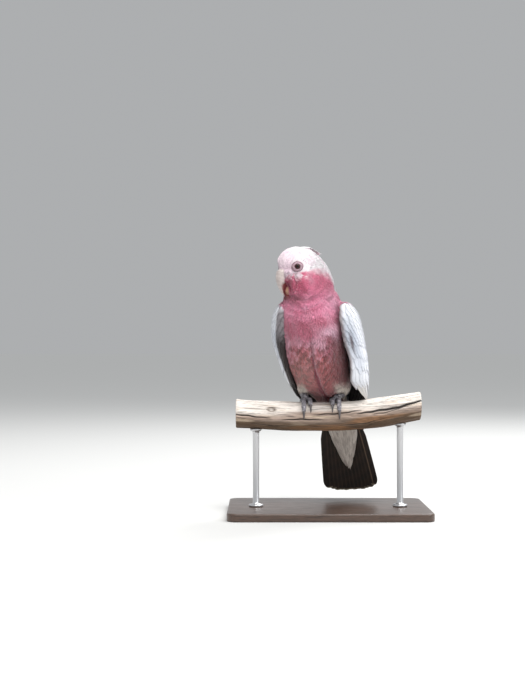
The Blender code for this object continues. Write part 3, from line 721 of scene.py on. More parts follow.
def laid(blank, paths, sizes):
    """Corners of feathers along their paths. Sizes: width, thickness, lift at root and at tip,
    droop of the edges."""
    corners = blank[0]
    stations, normals, ways = paths
    width, thick, low, high, droop = (
        np.broadcast_to(size, stations.shape[1])[:, None] for size in sizes
    )
    share = np.clip(corners[:, 1], 0.0, 1.0)
    first = np.minimum((share * PATH_STEPS).astype(int), PATH_STEPS - 1)
    part = (share * PATH_STEPS - first)[:, None, None]

    def at_corners(line):
        return (line[first] * (1 - part) + line[first + 1] * part).transpose(1, 0, 2)

    middle, up, along = at_corners(stations), at_corners(normals), at_corners(ways)
    side = np.cross(along, up)
    lift = low + (high - low) * share**1.3 + corners[:, 2] * thick
    lift = lift - droop * (2 * corners[:, 0]) ** 2
    return middle + side * (corners[:, 0] * width)[..., None] + up * lift[..., None]


def body_unwrap(points):
    """A place on a flat map of the body's skin: round it, and down it."""
    ahead, left = on_body(points)
    round_it = np.arctan2(left, ahead) / (2 * math.pi) + 0.5
    down = (points[:, 2] - 105.0) / 232.0
    return np.stack([0.01 + 0.98 * round_it, 0.01 + 0.98 * np.clip(down, 0.0, 1.0)], axis=1)


soft_finish = feather_finish("soft_plumage", 14.0, 0.16, 0.78, 0.28)
ground = Ground(skin)
horn_tree = BVHTree.FromBMesh(merged(HORN))
leg_tree = BVHTree.FromBMesh(merged(SHANKS))
soft_blank, fine_blank = blank_of(soft_feather()), blank_of(fine_feather())
EYE_AT = (17.0, 17.2, 307.4)  # forward, to the side, height
EYE_AIM = (0.43, 0.90)  # the eye's outlook: forward and to the side
EYE_RING = 6.3  # reach of the bare lids from the eye's axis
HORN_GAP, LEG_GAP = 0.12, 0.6  # bare skin between the feathers' roots and bill, and legs
ARM_EDGE = 2.4  # how near the wing's arm the body's own feathers stop
# Feathers at each height: length and width.
FEATHER_SIZES = (
    (150, 6.5, 3.4), (172, 8.6, 4.6), (205, 9.6, 5.2), (240, 9.0, 4.8),
    (262, 8.0, 4.0), (276, 7.0, 3.3), (290, 6.2, 2.7), (330, 6.0, 2.5),
)


def at_head(forward, left, height):
    """Places given by their step forward and to the left of the head's middle."""
    x, y = turned(forward, left, HEAD_YAW)
    return np.stack([HEAD_AT[0] + x, HEAD_AT[1] + y, height + 0.0 * x], axis=-1)


def eye_frame(side):
    """An eye's middle, its outlook, and the turn that faces a shape that way."""
    centre = Vector(at_head(EYE_AT[0], side * EYE_AT[1], EYE_AT[2]))
    aim = Vector((*turned(EYE_AIM[0], side * EYE_AIM[1], HEAD_YAW), 0.0)).normalized()
    return centre, aim, aim.to_track_quat("Z", "Y").to_matrix()


def from_lids(points):
    """How far each point lies from the nearer eye's axis."""
    reach = np.full(len(points), 99.0)
    for side in (-1, 1):
        centre, aim, _ = eye_frame(side)
        off = points - np.array(centre)
        along = off @ np.array(aim)
        apart = np.linalg.norm(off - along[:, None] * np.array(aim), axis=1)
        reach = np.where(along > 0.0, np.minimum(reach, apart), reach)
    return reach


def clothe(name, blank, spacing, scale, where, seed, arms=False):
    """Covers the region where() picks with feathers, shorter towards the bill and the lids."""
    roots = ground.roots(spacing, seed)
    roots = roots[where(roots)]
    from_horn, from_eye = distance_to(horn_tree, roots), from_lids(roots)
    clear = (from_horn > HORN_GAP) & (from_eye > EYE_RING) & (distance_to(leg_tree, roots) > LEG_GAP)
    forward, left = measured_from(roots, HEAD_AT, HEAD_YAW)
    in_mouth = (forward > read(CHEEK_EDGE, roots[:, 2], 1) + 0.4) & (np.abs(left) < MOUTH_HALF)
    clear &= ~(in_mouth & (roots[:, 2] > MOUTH_LOW) & (roots[:, 2] < MOUTH_HIGH))
    near_arm = distance_to(arm_tree, roots) < np.maximum(distance_to(body_tree, roots), ARM_EDGE)
    clear &= near_arm == arms
    roots, from_horn, from_eye = roots[clear], from_horn[clear], from_eye[clear]
    dice = np.random.default_rng(seed + 100)
    small = 0.55 + 0.45 * eased(0.0, 14.0, np.minimum(from_horn, (from_eye - EYE_RING) * 2.0))
    small = np.maximum(small, 0.85 * cheek_puff(roots))
    small *= scale * dice.uniform(0.82, 1.15, len(roots))
    lengths = small * read(FEATHER_SIZES, roots[:, 2], 1)
    widths = small * read(FEATHER_SIZES, roots[:, 2], 2)

    def lie(points, normals):
        way = lie_of_plumage(points, normals)
        side = np.cross(way, normals)
        swing = 0.16 * lumps(points, 7.0, 21) + 0.10 * lumps(points, 2.5, 22)
        way = way + side * swing[:, None]
        return way / np.linalg.norm(way, axis=1)[:, None]

    paths = paths_over(ground, roots, lengths, lie)
    high = coat_depth(roots, False) * dice.uniform(0.66, 0.86, len(roots))
    high = high + 1.5 * eye_tufts(roots) + 0.5 * eased(0.2, 1.0, lumps(roots, 6.0, 23))
    colour = plumage(roots) * dice.uniform(0.92, 1.08, (len(roots), 1))
    tints = graded(blank, colour * 0.90, colour * 1.06)
    points = laid(blank, paths, (widths, 0.2, -0.08, high, 0.25))
    feather_mesh(name, blank, points, tints, body_unwrap(roots), soft_finish)


def behind(points):
    """Whether each place lies on the back, under the folded wings."""
    ahead, _ = on_body(points)
    return (ahead < -9.0) & (points[:, 2] < 250.0)


def above(points, low):
    """Whether each place lies above a height, the border wandering a little."""
    return points[:, 2] + 3.5 * lumps(points, 9.0, 14) > low


def over_cap(points):
    """Whether each place lies on the white cap."""
    face_on, _ = measured_from(points, HEAD_AT, HEAD_YAW)
    edge = read(CAP_EDGE, face_on, 1) + 1.8 * lumps(points, 5.0, 4)
    return points[:, 2] > edge - 1.0


# The lower borders of face, neck, breast and belly, and of the shoulders.
FACE_LOW, NECK_LOW, BREAST_LOW, BELLY_LOW, SHOULDER_LOW = 272.0, 240.0, 196.0, 100.0, 261.5
clothe("crown_coat", fine_blank, 1.0, 1.0, over_cap, 31)
clothe("cheek_coat", fine_blank, 1.0, 1.0,
       lambda p: ~over_cap(p) & above(p, FACE_LOW), 32)
clothe("neck_coat", soft_blank, 1.26, 1.0,
       lambda p: ~over_cap(p) & above(p, NECK_LOW) & ~above(p, FACE_LOW), 33)
clothe("breast_coat", soft_blank, 1.32, 1.0,
       lambda p: above(p, BREAST_LOW) & ~above(p, NECK_LOW) & ~behind(p), 34)
clothe("belly_coat", soft_blank, 1.5, 1.0,
       lambda p: (p[:, 2] > BELLY_LOW) & ~above(p, BREAST_LOW) & ~behind(p), 35)
clothe("shoulder_coat", soft_blank, 1.6, 1.35,
       lambda p: p[:, 2] > SHOULDER_LOW, 37, arms=True)
clothe("back_coat", soft_blank, 2.1, 1.25,
       lambda p: ~above(p, NECK_LOW) & behind(p), 36)

# ---- Bill ---------------------------------------------------------------------------------
# Two curved horns of keratin, the upper one closing over the lower, with growth rings and
# painted shade on the upper one's lower part, by its cutting edge. Each is a closed ball drawn
# out along its curve, its root under feathers.
CUTTING_EDGE = 288.0  # height of the upper bill's edge
HORN_PALE, HORN_SHADE = srgb(190, 178, 174), srgb(126, 110, 108)
HORN_EDGE_SHADE, LOWER_HORN, LOWER_HORN_SHADE = srgb(112, 52, 46), srgb(168, 112, 84), srgb(104, 48, 44)


def ball(around, along):
    """A closed ball as a bmesh, with the turn and the share from foot to tip at each corner."""
    bm = bmesh.new()
    bmesh.ops.create_uvsphere(bm, u_segments=around, v_segments=along, radius=1.0)
    spots = places(bm)
    turn = np.arctan2(spots[:, 1], spots[:, 0])
    return bm, turn, np.arccos(np.clip(-spots[:, 2], -1.0, 1.0)) / math.pi


grain_and_wear, given, out = shared_group(
    "grain_and_wear",
    {"Place": "Vector", "Colour": "Color", "Grain": "Float", "Contrast": "Float"},
    {"Colour": "Color", "Height": "Float", "Wear": "Float"},
)
fine = grain_and_wear.nodes.new("ShaderNodeTexNoise")
fine.inputs["Detail"].default_value = 4.0
grain_and_wear.links.new(given["Place"], fine.inputs["Vector"])
grain_and_wear.links.new(given["Grain"], fine.inputs["Scale"])
broad = noise(grain_and_wear, given["Place"], 0.007, 3.0)
mark = sums(grain_and_wear, "ADD", sums(grain_and_wear, "MULTIPLY", fine.outputs["Fac"], 0.6), broad)
tone = sums(grain_and_wear, "SUBTRACT", mark, 0.8)
tone = sums(grain_and_wear, "MULTIPLY_ADD", tone, given["Contrast"], 1.0)
grain_and_wear.links.new(toned(grain_and_wear, given["Colour"], tone), out["Colour"])
grain_and_wear.links.new(fine.outputs["Fac"], out["Height"])
grain_and_wear.links.new(broad, out["Wear"])


def worn_finish(name, group, colour, relief, gloss, sockets, **values):
    """A shared group's grain over a colour, or over the colours that a mesh carries. Relief is
    the bump's depth and strength, gloss the roughness of dull and of polished patches."""
    dull, bright = gloss
    made, tree, shader = new_finish(name, dull, **sockets)
    if isinstance(colour, str):
        colour = source(tree, "Attribute", "Color", attribute_name=colour)
    out = placed(tree, group, Place=source(tree, "TexCoord", "Object"), Colour=colour, **values)
    tree.links.new(out["Colour"], shader.inputs["Base Color"])
    rough = sums(tree, "MULTIPLY_ADD", out["Wear"], 2.0 * (bright - dull), 1.5 * dull - 0.5 * bright)
    tree.links.new(rough, shader.inputs["Roughness"])
    bumped(tree, shader, out["Height"], *relief)
    return made


def horn(name, outer, inner, widths, lower):
    """A curved horn between an outer and an inner line, given as forward and height."""
    bm, turn, share = ball(40, 48)
    stations = np.linspace(0.0, 1.0, len(outer))
    rows = [(share_at, *o, *i, w) for share_at, o, i, w in zip(stations, outer, inner, widths)]
    row = 0.5 - 0.5 * np.cos(share * math.pi) if lower else share
    front, high, back, low, width = (read(rows, row, column) for column in range(1, 6))
    closing = np.minimum(1.0, np.sqrt(np.minimum(share, 1.0 - share) / 0.045))
    flank = np.sign(np.sin(turn)) * np.abs(np.sin(turn)) ** 0.85
    reach = (1.0 + np.cos(turn)) / 2
    middle_f, middle_h = (front + back) / 2, (high + low) / 2
    forward = middle_f + (back + (front - back) * reach - middle_f) * closing
    height = middle_h + (low + (high - low) * reach - middle_h) * closing
    # Growth rings, and a soft keel along the ridge.
    grow = 0.05 * np.sin(share * 70.0 + 2.0 * np.cos(turn)) * closing
    swell = 1.0 + 0.03 * np.cos(2 * turn)
    put(bm, at_head(forward + grow * reach, width * flank * closing * swell, height))
    bmesh.ops.recalc_face_normals(bm, faces=bm.faces)
    bands = 0.10 * np.sin(share * 60.0 + 2 * np.cos(turn))
    # Painted shade: each horn is darker towards its inner line, away from its outer curve.
    tint = mixed(HORN_PALE, HORN_SHADE, 0.55 - 0.45 * reach + bands)
    if lower:
        # The lower horn is orange-beige, and painted shade darkens it towards its bottom.
        tint = washed(tint, (LOWER_HORN, 0.85), (LOWER_HORN_SHADE, 0.8 * eased(278.0, 271.0, height)))
    else:
        # Painted shade on the upper horn from its cutting edge down, on its inner side.
        edge_shade = eased(CUTTING_EDGE + 2.0, CUTTING_EDGE - 6.0, height) * eased(0.80, 0.50, reach)
        tint = mixed(tint, HORN_EDGE_SHADE, 0.85 * edge_shade)
    made = object_from(bm, name)
    painted(made.data, "tint", tint)
    return made


bill_upper = horn(
    "bill_upper_horn",
    outer=((30.0, 306.0), (35.2, 302.0), (36.4, 295.0), (34.6, 286.5), (30.5, 278.0), (25.4, 270.6)),
    inner=((20.0, 301.0), (18.5, 296.0), (20.0, 290.5), (28.0, 284.5), (27.4, 278.0), (24.8, 271.2)),
    widths=(6.5, 7.8, 7.6, 5.2, 3.2, 0.8),
    lower=False,
)
bill_lower = horn(
    "bill_lower_horn",
    outer=((25.0, 284.0), (25.6, 279.5), (23.6, 274.5), (18.0, 271.0)),
    inner=((15.0, 282.0), (13.5, 278.0), (13.0, 274.0), (13.5, 270.6)),
    widths=(5.6, 6.4, 5.8, 3.4),
    lower=True,
)
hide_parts("bill_upper")
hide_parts("bill_lower")
horn_finish = worn_finish(
    "bill_horn", grain_and_wear, "tint", (0.00005, 0.5), (0.5, 0.3), {"Coat_Weight": 0.15},
    Grain=900.0, Contrast=0.5,
)
for piece in (bill_upper, bill_lower):
    piece.data.materials.append(horn_finish)
    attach(piece, "root")

# ---- Eyes and lids ------------------------------------------------------------------------
# Dark glassy balls, each in a ring of bare wrinkled skin. A ball is one sphere with a
# bulging front. A lid is one profile spun round the eye, and is joined to the skin later.
EYE_RADIUS = 5.5
PUPIL_EDGE, IRIS_EDGE = (0.30, 0.34), (0.50, 0.60)  # turns from the eye's aim, in radians
LID_WIDE, LID_HIGH = 0.98, 0.89  # the spun lids are drawn in a little, more so in height
PUPIL, IRIS_DARK, IRIS_RED, RIM = srgb(14, 9, 9), srgb(46, 20, 18), srgb(74, 30, 26), srgb(24, 14, 14)
LID_GREY, LID_PINK, LID_DARK = srgb(142, 118, 128), srgb(178, 146, 156), srgb(72, 50, 58)
# From under the lid's rim outwards: distance from the eye's axis, height along it.
LID = (
    (3.3, 4.05), (3.5, 4.55), (3.85, 4.75), (4.3, 4.72), (4.8, 4.42), (5.2, 4.38), (5.7, 4.05),
    (6.1, 3.75), (6.5, 3.5), (6.9, 2.9), (7.5, 1.9), (8.2, 0.6), (8.4, -1.5),
)
eye_finish = worn_finish(
    "eye_gloss", grain_and_wear, "tint", (0.000003, 0.5), (0.10, 0.05), {"Specular_IOR_Level": 0.25},
    Grain=2500.0, Contrast=0.3,
)


def spun(profile, steps):
    """A profile of radius and height, as a bmesh spun round the upright axis."""
    bm = bmesh.new()
    chain = [bm.verts.new((radius, 0.0, height)) for radius, height in profile]
    edges = [bm.edges.new(pair) for pair in zip(chain, chain[1:])]
    bmesh.ops.spin(
        bm, geom=chain + edges, axis=(0, 0, 1), cent=(0, 0, 0), angle=2 * math.pi, steps=steps,
        use_merge=True,
    )
    return bm


lids = []
for word, side in (("left", 1), ("right", -1)):
    centre, aim, facing = eye_frame(side)
    bm, turn, share = ball(36, 40)
    from_aim = (1.0 - share) * math.pi
    bulge = 1.0 + 0.035 * eased(0.75, 0.0, from_aim)
    put(bm, places(bm) * EYE_RADIUS * bulge[:, None])
    iris = mixed(IRIS_RED, IRIS_DARK, 0.5 + 0.5 * np.sin(19 * turn))
    colour = washed(PUPIL, (iris, eased(*PUPIL_EDGE, from_aim)), (RIM, eased(*IRIS_EDGE, from_aim)))
    bmesh.ops.rotate(bm, verts=bm.verts, matrix=facing)
    bmesh.ops.translate(bm, verts=bm.verts, vec=centre)
    eye = object_from(bm, f"eye_{word}_ball")
    painted(eye.data, "tint", colour)
    eye.data.materials.append(eye_finish)
    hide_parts(f"eye_{word}")
    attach(eye, "root")

    # The lids, wrinkled and a little wider than high.
    bm = spun(LID, 56)
    spots = places(bm)
    wide = np.hypot(spots[:, 0], spots[:, 1])
    turn = np.arctan2(spots[:, 1], spots[:, 0])
    wrinkle = 0.12 * np.sin(13 * turn + 4 * wide) + 0.10 * np.sin(7 * turn - 3 * wide)
    spots[:, 2] += wrinkle * eased(3.4, 4.2, wide) * eased(7.6, 6.6, wide)
    put(bm, spots * (LID_WIDE, LID_HIGH, 1.0))
    bmesh.ops.rotate(bm, verts=bm.verts, matrix=facing)
    bmesh.ops.translate(bm, verts=bm.verts, vec=centre)
    bmesh.ops.recalc_face_normals(bm, faces=bm.faces)
    rims = hump(wide, 3.5, 0.4) + 0.65 * hump(wide, 6.8, 0.5) + 0.12 * hump(wide, 5.2, 0.3)
    tone = mixed(LID_GREY, LID_PINK, 0.5 + 0.5 * np.sin(5 * turn + 2 * wide))
    lids.append((bm, mixed(tone, LID_DARK, np.clip(rims, 0.0, 1.0))))

# ---- Crest --------------------------------------------------------------------------------
# A few dozen long crown feathers laid straight back, their tips clear of the nape, white above
# and rosy beneath. Each is a flat closed vane with a raised shaft.
CREST_WHITE = srgb(252, 247, 250)
CREST_LAYERS, CREST_ACROSS = 5, 9
CREST_STEP, CREST_WIDTH = 4.0, 4.8  # from layer to layer along the crown, and a feather's width
# Forward, underside height, top height, half width.
CREST = (
    (8.0, 330.5, 334.2, 4.0), (4.0, 331.0, 334.9, 5.5), (-5.0, 328.5, 335.0, 8.0),
    (-16.0, 322.5, 332.6, 8.5), (-21.0, 320.5, 330.0, 7.0), (-26.0, 320.5, 326.9, 4.5),
)
vane_finish = feather_finish("closed_vanes", 46.0, 0.10, 0.55, 0.12)


def vane(columns, rows, point=0.5, shoulder=0.62):
    """A flat feather along Y from 0 to 1 with a raised shaft, rounded from its shoulder on."""
    bm = bmesh.new()
    bmesh.ops.create_grid(bm, x_segments=columns, y_segments=rows, size=0.5)
    bmesh.ops.translate(bm, verts=bm.verts, vec=(0.0, 0.5, 0.0))
    for corner in bm.verts:
        across, share = corner.co.x, corner.co.y
        share = 1.0 - (1.0 - share) ** 1.5
        rounding = max(0.0, (share - shoulder) / (1.0 - shoulder))
        width = min(1.0, 0.22 + 2.4 * share) * max(0.12, 1.0 - rounding**2.2) ** 0.62
        back = point * 0.12 * (2 * across) ** 2 * share**2
        corner.co = (across * width, share - back, 0.9 * (abs(across) < 0.01))
    bmesh.ops.solidify(bm, geom=bm.faces[:], thickness=-0.8)
    bmesh.ops.recalc_face_normals(bm, faces=bm.faces)
    return blank_of(bm)


def crest_feathers():
    """Layers of feathers from the crown's front backwards, each layer a little lower."""
    dice = np.random.default_rng(61)
    blank = vane(4, 9, point=0.9)
    corners = blank[0]
    down = np.clip(corners[:, 1], 0.0, 1.0)
    points, tints, unwrap = [], [], []
    for layer in range(CREST_LAYERS):
        for k in range(CREST_ACROSS):
            across = (k + 0.5 * (layer % 2) - 4.0) / 4.2
            start = 9.0 - CREST_STEP * layer - 2.0 * across**2 + dice.uniform(-0.8, 0.8)
            end = -26.5 + 1.0 * layer + 4.0 * across**2 + dice.uniform(-0.9, 0.6)
            forward = start + (end - start) * down
            low, high, half = (read(CREST, forward, column) for column in (1, 2, 3))
            side = across * half * 0.85 + corners[:, 0] * CREST_WIDTH
            rise = high + 0.3 - (high - low) * (0.05 + 0.13 * layer) - 0.30 * across**2 * half * 0.5
            rise = rise + corners[:, 2] * 0.2 - 0.5 * (2 * corners[:, 0]) ** 2 - 3.2 * (1 - down) ** 2
            rise = rise - 2.4 * hump(forward, -16.0, 8.0) - 1.0 * down**3
            points.append(at_head(forward, side, rise))
            pink = 0.20 * layer + (corners[:, 2] < 0.0) * 0.35
            tints.append(mixed(CREST_WHITE, NECK, pink) * dice.uniform(0.96, 1.03))
            unwrap.append(body_unwrap(np.array([points[-1].mean(axis=0)]))[0])
    return feather_mesh(
        "crest_feathers", blank, points, tints, unwrap, vane_finish
    )


crest = crest_feathers()
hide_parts("crest")

# ---- Wings --------------------------------------------------------------------------------
# Small scale-like coverts over the folded arm, rows of longer ones, and under them the silver
# secondaries and dark primaries. Each is a vane with a raised shaft, laid on the closed wing's
# own curve, and they lap like tiles.
LIP = 0.1  # the share of the way round that the rounded front edge takes
# Height, middle x and y, half width, reach forward and back, angle from straight ahead of
# the front edge and of the back edge, thickness of the front edge.
WING = (
    (265.0, -7.0, -9.5, 41.5, 22.0, 33.0, 68.0, 128.0, 3.5),
    (262.0, -7.2, -9.5, 46.0, 29.0, 37.0, 58.0, 138.0, 6.0),
    (256.5, -6.3, -9.0, 50.0, 36.0, 41.0, 51.0, 147.0, 8.0),
    (243.0, -5.4, -8.0, 55.2, 43.0, 46.5, 47.0, 158.0, 8.5),
    (218.0, -2.5, -6.0, 57.5, 44.0, 50.5, 47.0, 168.0, 8.0),
    (193.0, 3.5, -3.0, 56.0, 42.0, 52.0, 52.0, 174.0, 6.0),
    (168.0, 9.5, 2.5, 52.0, 38.0, 51.5, 55.0, 175.0, 4.0),
    (155.0, 13.5, 11.0, 48.0, 32.0, 47.0, 66.0, 176.0, 3.0),
    (142.0, 18.0, 23.0, 44.0, 25.0, 38.0, 80.0, 176.0, 2.4),
    (130.0, 22.5, 35.5, 39.5, 18.0, 27.5, 86.0, 176.0, 2.0),
    (118.0, 27.0, 49.0, 35.5, 12.0, 18.0, 92.0, 175.0, 1.8),
    (104.0, 31.5, 61.0, 31.0, 9.0, 10.0, 98.0, 174.0, 1.6),
    (90.0, 33.9, 67.5, 26.5, 8.0, 9.0, 104.0, 170.0, 1.5),
    (66.0, 37.9, 77.0, 20.5, 7.0, 7.5, 122.0, 158.0, 1.3),
    (55.0, 39.7, 81.5, 17.5, 6.0, 6.5, 138.0, 146.0, 1.2),
)
# The left wing's long inner feathers hang further forward: height, degrees.
ADVANCE = ((214, 0.0), (194, 3.0), (178, 8.0), (164, 13.0), (152, 13.0), (140, 10.0), (112, 0.0))


def on_wing(side, height, share):
    """A place on the closed wing: share 0 is the front edge, 1 the back; below 0, the inside."""
    x, y, width, front, back, first, last, thick = (
        read(WING, height, column) for column in range(1, 9)
    )
    if side > 0:
        first = first - read(ADVANCE, height, 1)
    turn = np.clip(-share / LIP, 0.0, 1.0)
    inside = np.clip(-share - LIP, 0.0, 1.0)
    depth = thick * turn * (1.0 - 0.6 * np.minimum(1.0, inside * 3.0))
    swell = np.degrees(thick / width) * 0.5 * np.sin(math.pi * turn)
    angle = np.radians(first + (last - first) * (np.clip(share, 0.0, 1.7) + inside) - swell)
    reach = np.where(np.cos(angle) > 0, front, back) - depth
    dx, dy = turned(reach * np.cos(angle), side * (width - depth) * np.sin(angle), BODY_YAW)
    return np.stack([x + dx, y + dy, height + 0.0 * share], axis=-1)


def wing_frame(side, height, share):
    """Places on the wing, their outward normals and how many mm a whole share measures."""
    place = on_wing(side, height, share)
    across = (on_wing(side, height, share + 0.004) - on_wing(side, height, share - 0.004)) / 0.008
    upward = on_wing(side, height + 0.5, share) - on_wing(side, height - 0.5, share)
    normal = np.cross(across, upward) * side
    normal /= np.linalg.norm(normal, axis=-1)[..., None]
    return place, normal, np.linalg.norm(across, axis=-1)


def wing_lay(name, side, blank, rows, slot):
    """Feathers over the wing, one row of numbers each: root height, tip height, root share,
    tip share, width, lift at root, lift at tip, tilt, then root, tip and edge colours."""
    corners = blank[0]
    number = np.array([row[:8] for row in rows], float)
    high, low, share_a, share_b, width, lift_a, lift_b, tilt = number.T[..., None]
    down = np.clip(corners[:, 1], 0.0, 1.0)[None]
    height = high + (low - high) * down
    share = share_a + (share_b - share_a) * down
    _, _, measure = wing_frame(side, height, share)
    spread = share + corners[:, 0] * width / measure
    place, normal, _ = wing_frame(side, height, spread)
    lift = lift_a + (lift_b - lift_a) * down + corners[:, 2] * 0.25 - tilt * 2 * corners[:, 0]
    points = place + normal * lift[..., None]
    root, tip, edge = (np.array([row[8 + k] for row in rows]) for k in range(3))
    unwrap = np.stack([0.02 + 0.95 * (number[:, 2] + 0.4) / 2.2, (number[:, 0] - 50) / 225], axis=1)
    tints = graded(blank, root, tip, edge, 1.2)
    if slot == "wing_feathers":
        tints = shaded_wing(side, height, spread, tints)
    return feather_mesh(name, blank, points, tints, unwrap, vane_finish)


SILVER = srgb(196, 197, 205)
SLATE, SOOT = srgb(150, 151, 158), srgb(62, 57, 58)
BLUE_GREY_SHADE, SAND = srgb(168, 176, 192), srgb(226, 218, 208)
LINING, LINING_SHADOW = srgb(112, 104, 108), srgb(42, 32, 32)
WEDGE_SHADE, INNER_EDGE = srgb(78, 66, 68), srgb(140, 126, 126)
covert_blank, flight_blank = vane(4, 7), vane(4, 14, point=0.8)


def shaded_wing(side, height, share, tints):
    """The wing's front: its lining shows at the bird's right, darkened by painted shadow."""

    def over(colour, mask):
        return tints + (np.asarray(colour) - tints) * mask[..., None]

    if side < 0:
        lining = eased(0.10, 0.06, share + 0.012 * np.sin(height / 9.0))
        ragged = np.sin(share * 230.0 + 0.25 * height) * np.sin(height / 5.0 + 40.0 * share)
        streak = 0.72 + 0.4 * ragged
        tints = over(LINING, lining * 0.9 * eased(262.0, 250.0, height))
        # Painted shadow on the lining, deepening downwards, its lower edge ragged.
        tints = over(LINING_SHADOW, lining * eased(244.0, 214.0, height + 9.0 * streak))
        return over(WHITE, 0.35 * hump(share, 0.16, 0.06))
    # Painted shade: a dark wedge between feather layers near the front.
    wedge_shade = eased(0.0, 0.03, share) * eased(0.075, 0.05, share)
    # Painted blue-grey shade along the front of the bird's left wing.
    tints = over(BLUE_GREY_SHADE * 0.8, 0.75 * eased(0.17, 0.05, share) * hump(height, 222.0, 26.0))
    tints = over(WEDGE_SHADE, wedge_shade * hump(height, 214.0, 12.0) * 0.9)
    tints = over(INNER_EDGE, 0.8 * eased(0.0, -0.04, share))
    # Painted highlight further back on the bird's left wing, where the light falls.
    return over(WHITE, 0.5 * hump(share, 0.24, 0.09))


def covert_tint(height, share, dice):
    """Silver coverts: white along the front of the wing, greyer towards the back, with painted
    blue-grey shade.
    """
    tint = mixed(WHITE, SILVER, [eased(0.18, 0.55, share)])[0]
    tint = tint + (SLATE - tint) * eased(0.5, 0.95, share)
    blue_shade = hump(share, 0.12, 0.10) * hump(height, 222.0, 22.0) * 0.6
    tint = tint + (BLUE_GREY_SHADE - tint) * blue_shade
    tint = tint + (SAND - tint) * 0.6 * eased(200.0, 175.0, height) * eased(0.35, 0.2, share)
    return tint * dice.uniform(0.94, 1.04)


# Rows of coverts, small ones and then long ones: front and back root heights, length, width,
# spacing, lift at root and at tip, and how far the roots stray up or down.
SMALL_COVERTS = [
    (top, top, 13.0, 8.5, 5.6, -1.0, 0.5, 1.0 if top > 225.0 else 2.5)
    for top in np.arange(262.5, 220.0, -5.0)
]
LONG_COVERTS = [
    (220.0, 218.0, 26.0, 10.0, 6.0, -0.6, 0.3, 2.5),
    (210.0, 204.0, 31.0, 11.0, 6.5, -0.7, 0.1, 2.5),
    (198.0, 188.0, 38.0, 12.0, 7.0, -0.9, -0.3, 2.5),
]
MANTLE_LINES = 15
SECONDARIES, PRIMARIES = 11, 9  # those that show on a closed wing


def covert_rows(side, dice):
    """Rows for wing_lay: the coverts, then the longer feathers over the wing's back edge."""
    rows = []
    for line, (front, back, length, width, apart, low, high, stray) in enumerate(
        SMALL_COVERTS + LONG_COVERTS
    ):
        _, _, measure = wing_frame(side, np.array([(front + back) / 2]), np.array([0.5]))
        count = max(4, int(1.12 * measure[0] / apart))
        for k in range(count):
            share = -0.12 + 1.1 * (k + 0.5 * (line % 2)) / count
            if line < 2 and share < -0.03:
                continue
            height = front + (back - front) * share + dice.uniform(-stray, stray)
            tint = covert_tint(height, share, dice)
            tip = height - length * dice.uniform(0.9, 1.1)
            rows.append((height, tip, share, share + dice.uniform(-0.01, 0.01), width, low, high, 0.35,
                         tint * 0.86, tint * 0.99, tint * 1.05))
    # Scapulars and mantle: longer feathers from the shoulders over the wings' back edges.
    for line in range(MANTLE_LINES):
        start = 262.0 - 7.0 * line
        first, last = read(WING, start - 4.0, 6), read(WING, start - 4.0, 7)
        edge = 0.80 + 0.05 * math.sin(2.3 * line) + 0.25 * float(eased(215.0, 178.0, start))
        for share in np.arange(edge, (184.0 - first) / (last - first) + 0.04, 0.06):
            height = start + dice.uniform(-2.0, 2.0) - 3.0 * (line % 2)
            sink = 2.4 * float(eased(1.0, 1.25, share))
            tint = MANTLE * 0.75 + SILVER * 0.25
            rump = eased(205.0, 182.0, height) * eased(1.0, 1.3, share)
            tint = (tint + (RUMP - tint) * rump) * dice.uniform(0.9, 1.06)
            rows.append((height, height - 19.0, share, share + 0.01, 11.0, -0.4 - sink, 1.6 - sink, 0.2,
                         tint * 0.8, tint * 0.98, tint * 1.08))
    return rows


def flight_rows(side):
    """Rows for wing_lay: the secondaries, and the primaries under them."""
    secondaries, primaries = [], []
    for part in np.linspace(0.0, 1.0, SECONDARIES):
        share = 0.10 + 0.86 * part
        tip = (138.0 if side > 0 else 146.0) - 38.0 * part**0.9
        tint = WHITE * 0.5 + SAND * 0.5 if part < 0.3 else SILVER
        tint = tint + (SLATE - tint) * eased(0.4, 1.0, part)
        secondaries.append((200.0, tip, share * 0.95, share, 15.0, -1.5, -0.7, 0.7,
                            tint * 0.6, tint * 0.95, tint * 1.05))
    for part in np.linspace(0.0, 1.0, PRIMARIES):
        share = (0.18 if side > 0 else 0.05) + 0.70 * part
        tip = 118.0 - 60.0 * math.sin(math.pi * min(1.0, 0.05 + part * 0.7)) ** 1.3
        dark = SOOT * (0.8 + 0.5 * part)
        primaries.append((190.0, tip, share * 0.8, share * 0.9 + 0.05, 13.0, -2.6, -2.0, 0.7,
                          dark, dark * 0.8, dark * 1.35))
    return secondaries, primaries


for word, side in (("left", 1), ("right", -1)):
    dice = np.random.default_rng(50 + side)
    rows = covert_rows(side, dice)
    wing_lay(f"wing_{word}_covert_feathers", side, covert_blank, rows, "wing_feathers")
    inner, outer = flight_rows(side)
    secondaries = wing_lay(
        f"wing_{word}_secondary_feathers", side, flight_blank, inner, "wing_feathers"
    )
    primaries = wing_lay(
        f"wing_{word}_primary_feathers", side, flight_blank, outer, "primary_feathers"
    )
    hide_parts(f"wing_{word}_secondaries")
    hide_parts(f"wing_{word}_primaries")

# ---- Tail ---------------------------------------------------------------------------------
# Twelve dark tail feathers in a closed fan, the outer ones under the inner ones, with the soft
# grey coverts of the vent over their roots below and the silver ones of the rump above.
TAIL_ROOT, TAIL_LENGTH = (27.5, 47.5, 127.0), 117.5
TAIL_DOWN = np.array((0.19, 0.404, -1.0)) / np.linalg.norm((0.19, 0.404, -1.0))
tail_across = np.array((*turned(0.0, 1.0, BODY_YAW), 0.0))
tail_across -= TAIL_DOWN * (tail_across @ TAIL_DOWN)
tail_across /= np.linalg.norm(tail_across)
tail_belly = np.cross(TAIL_DOWN, tail_across)


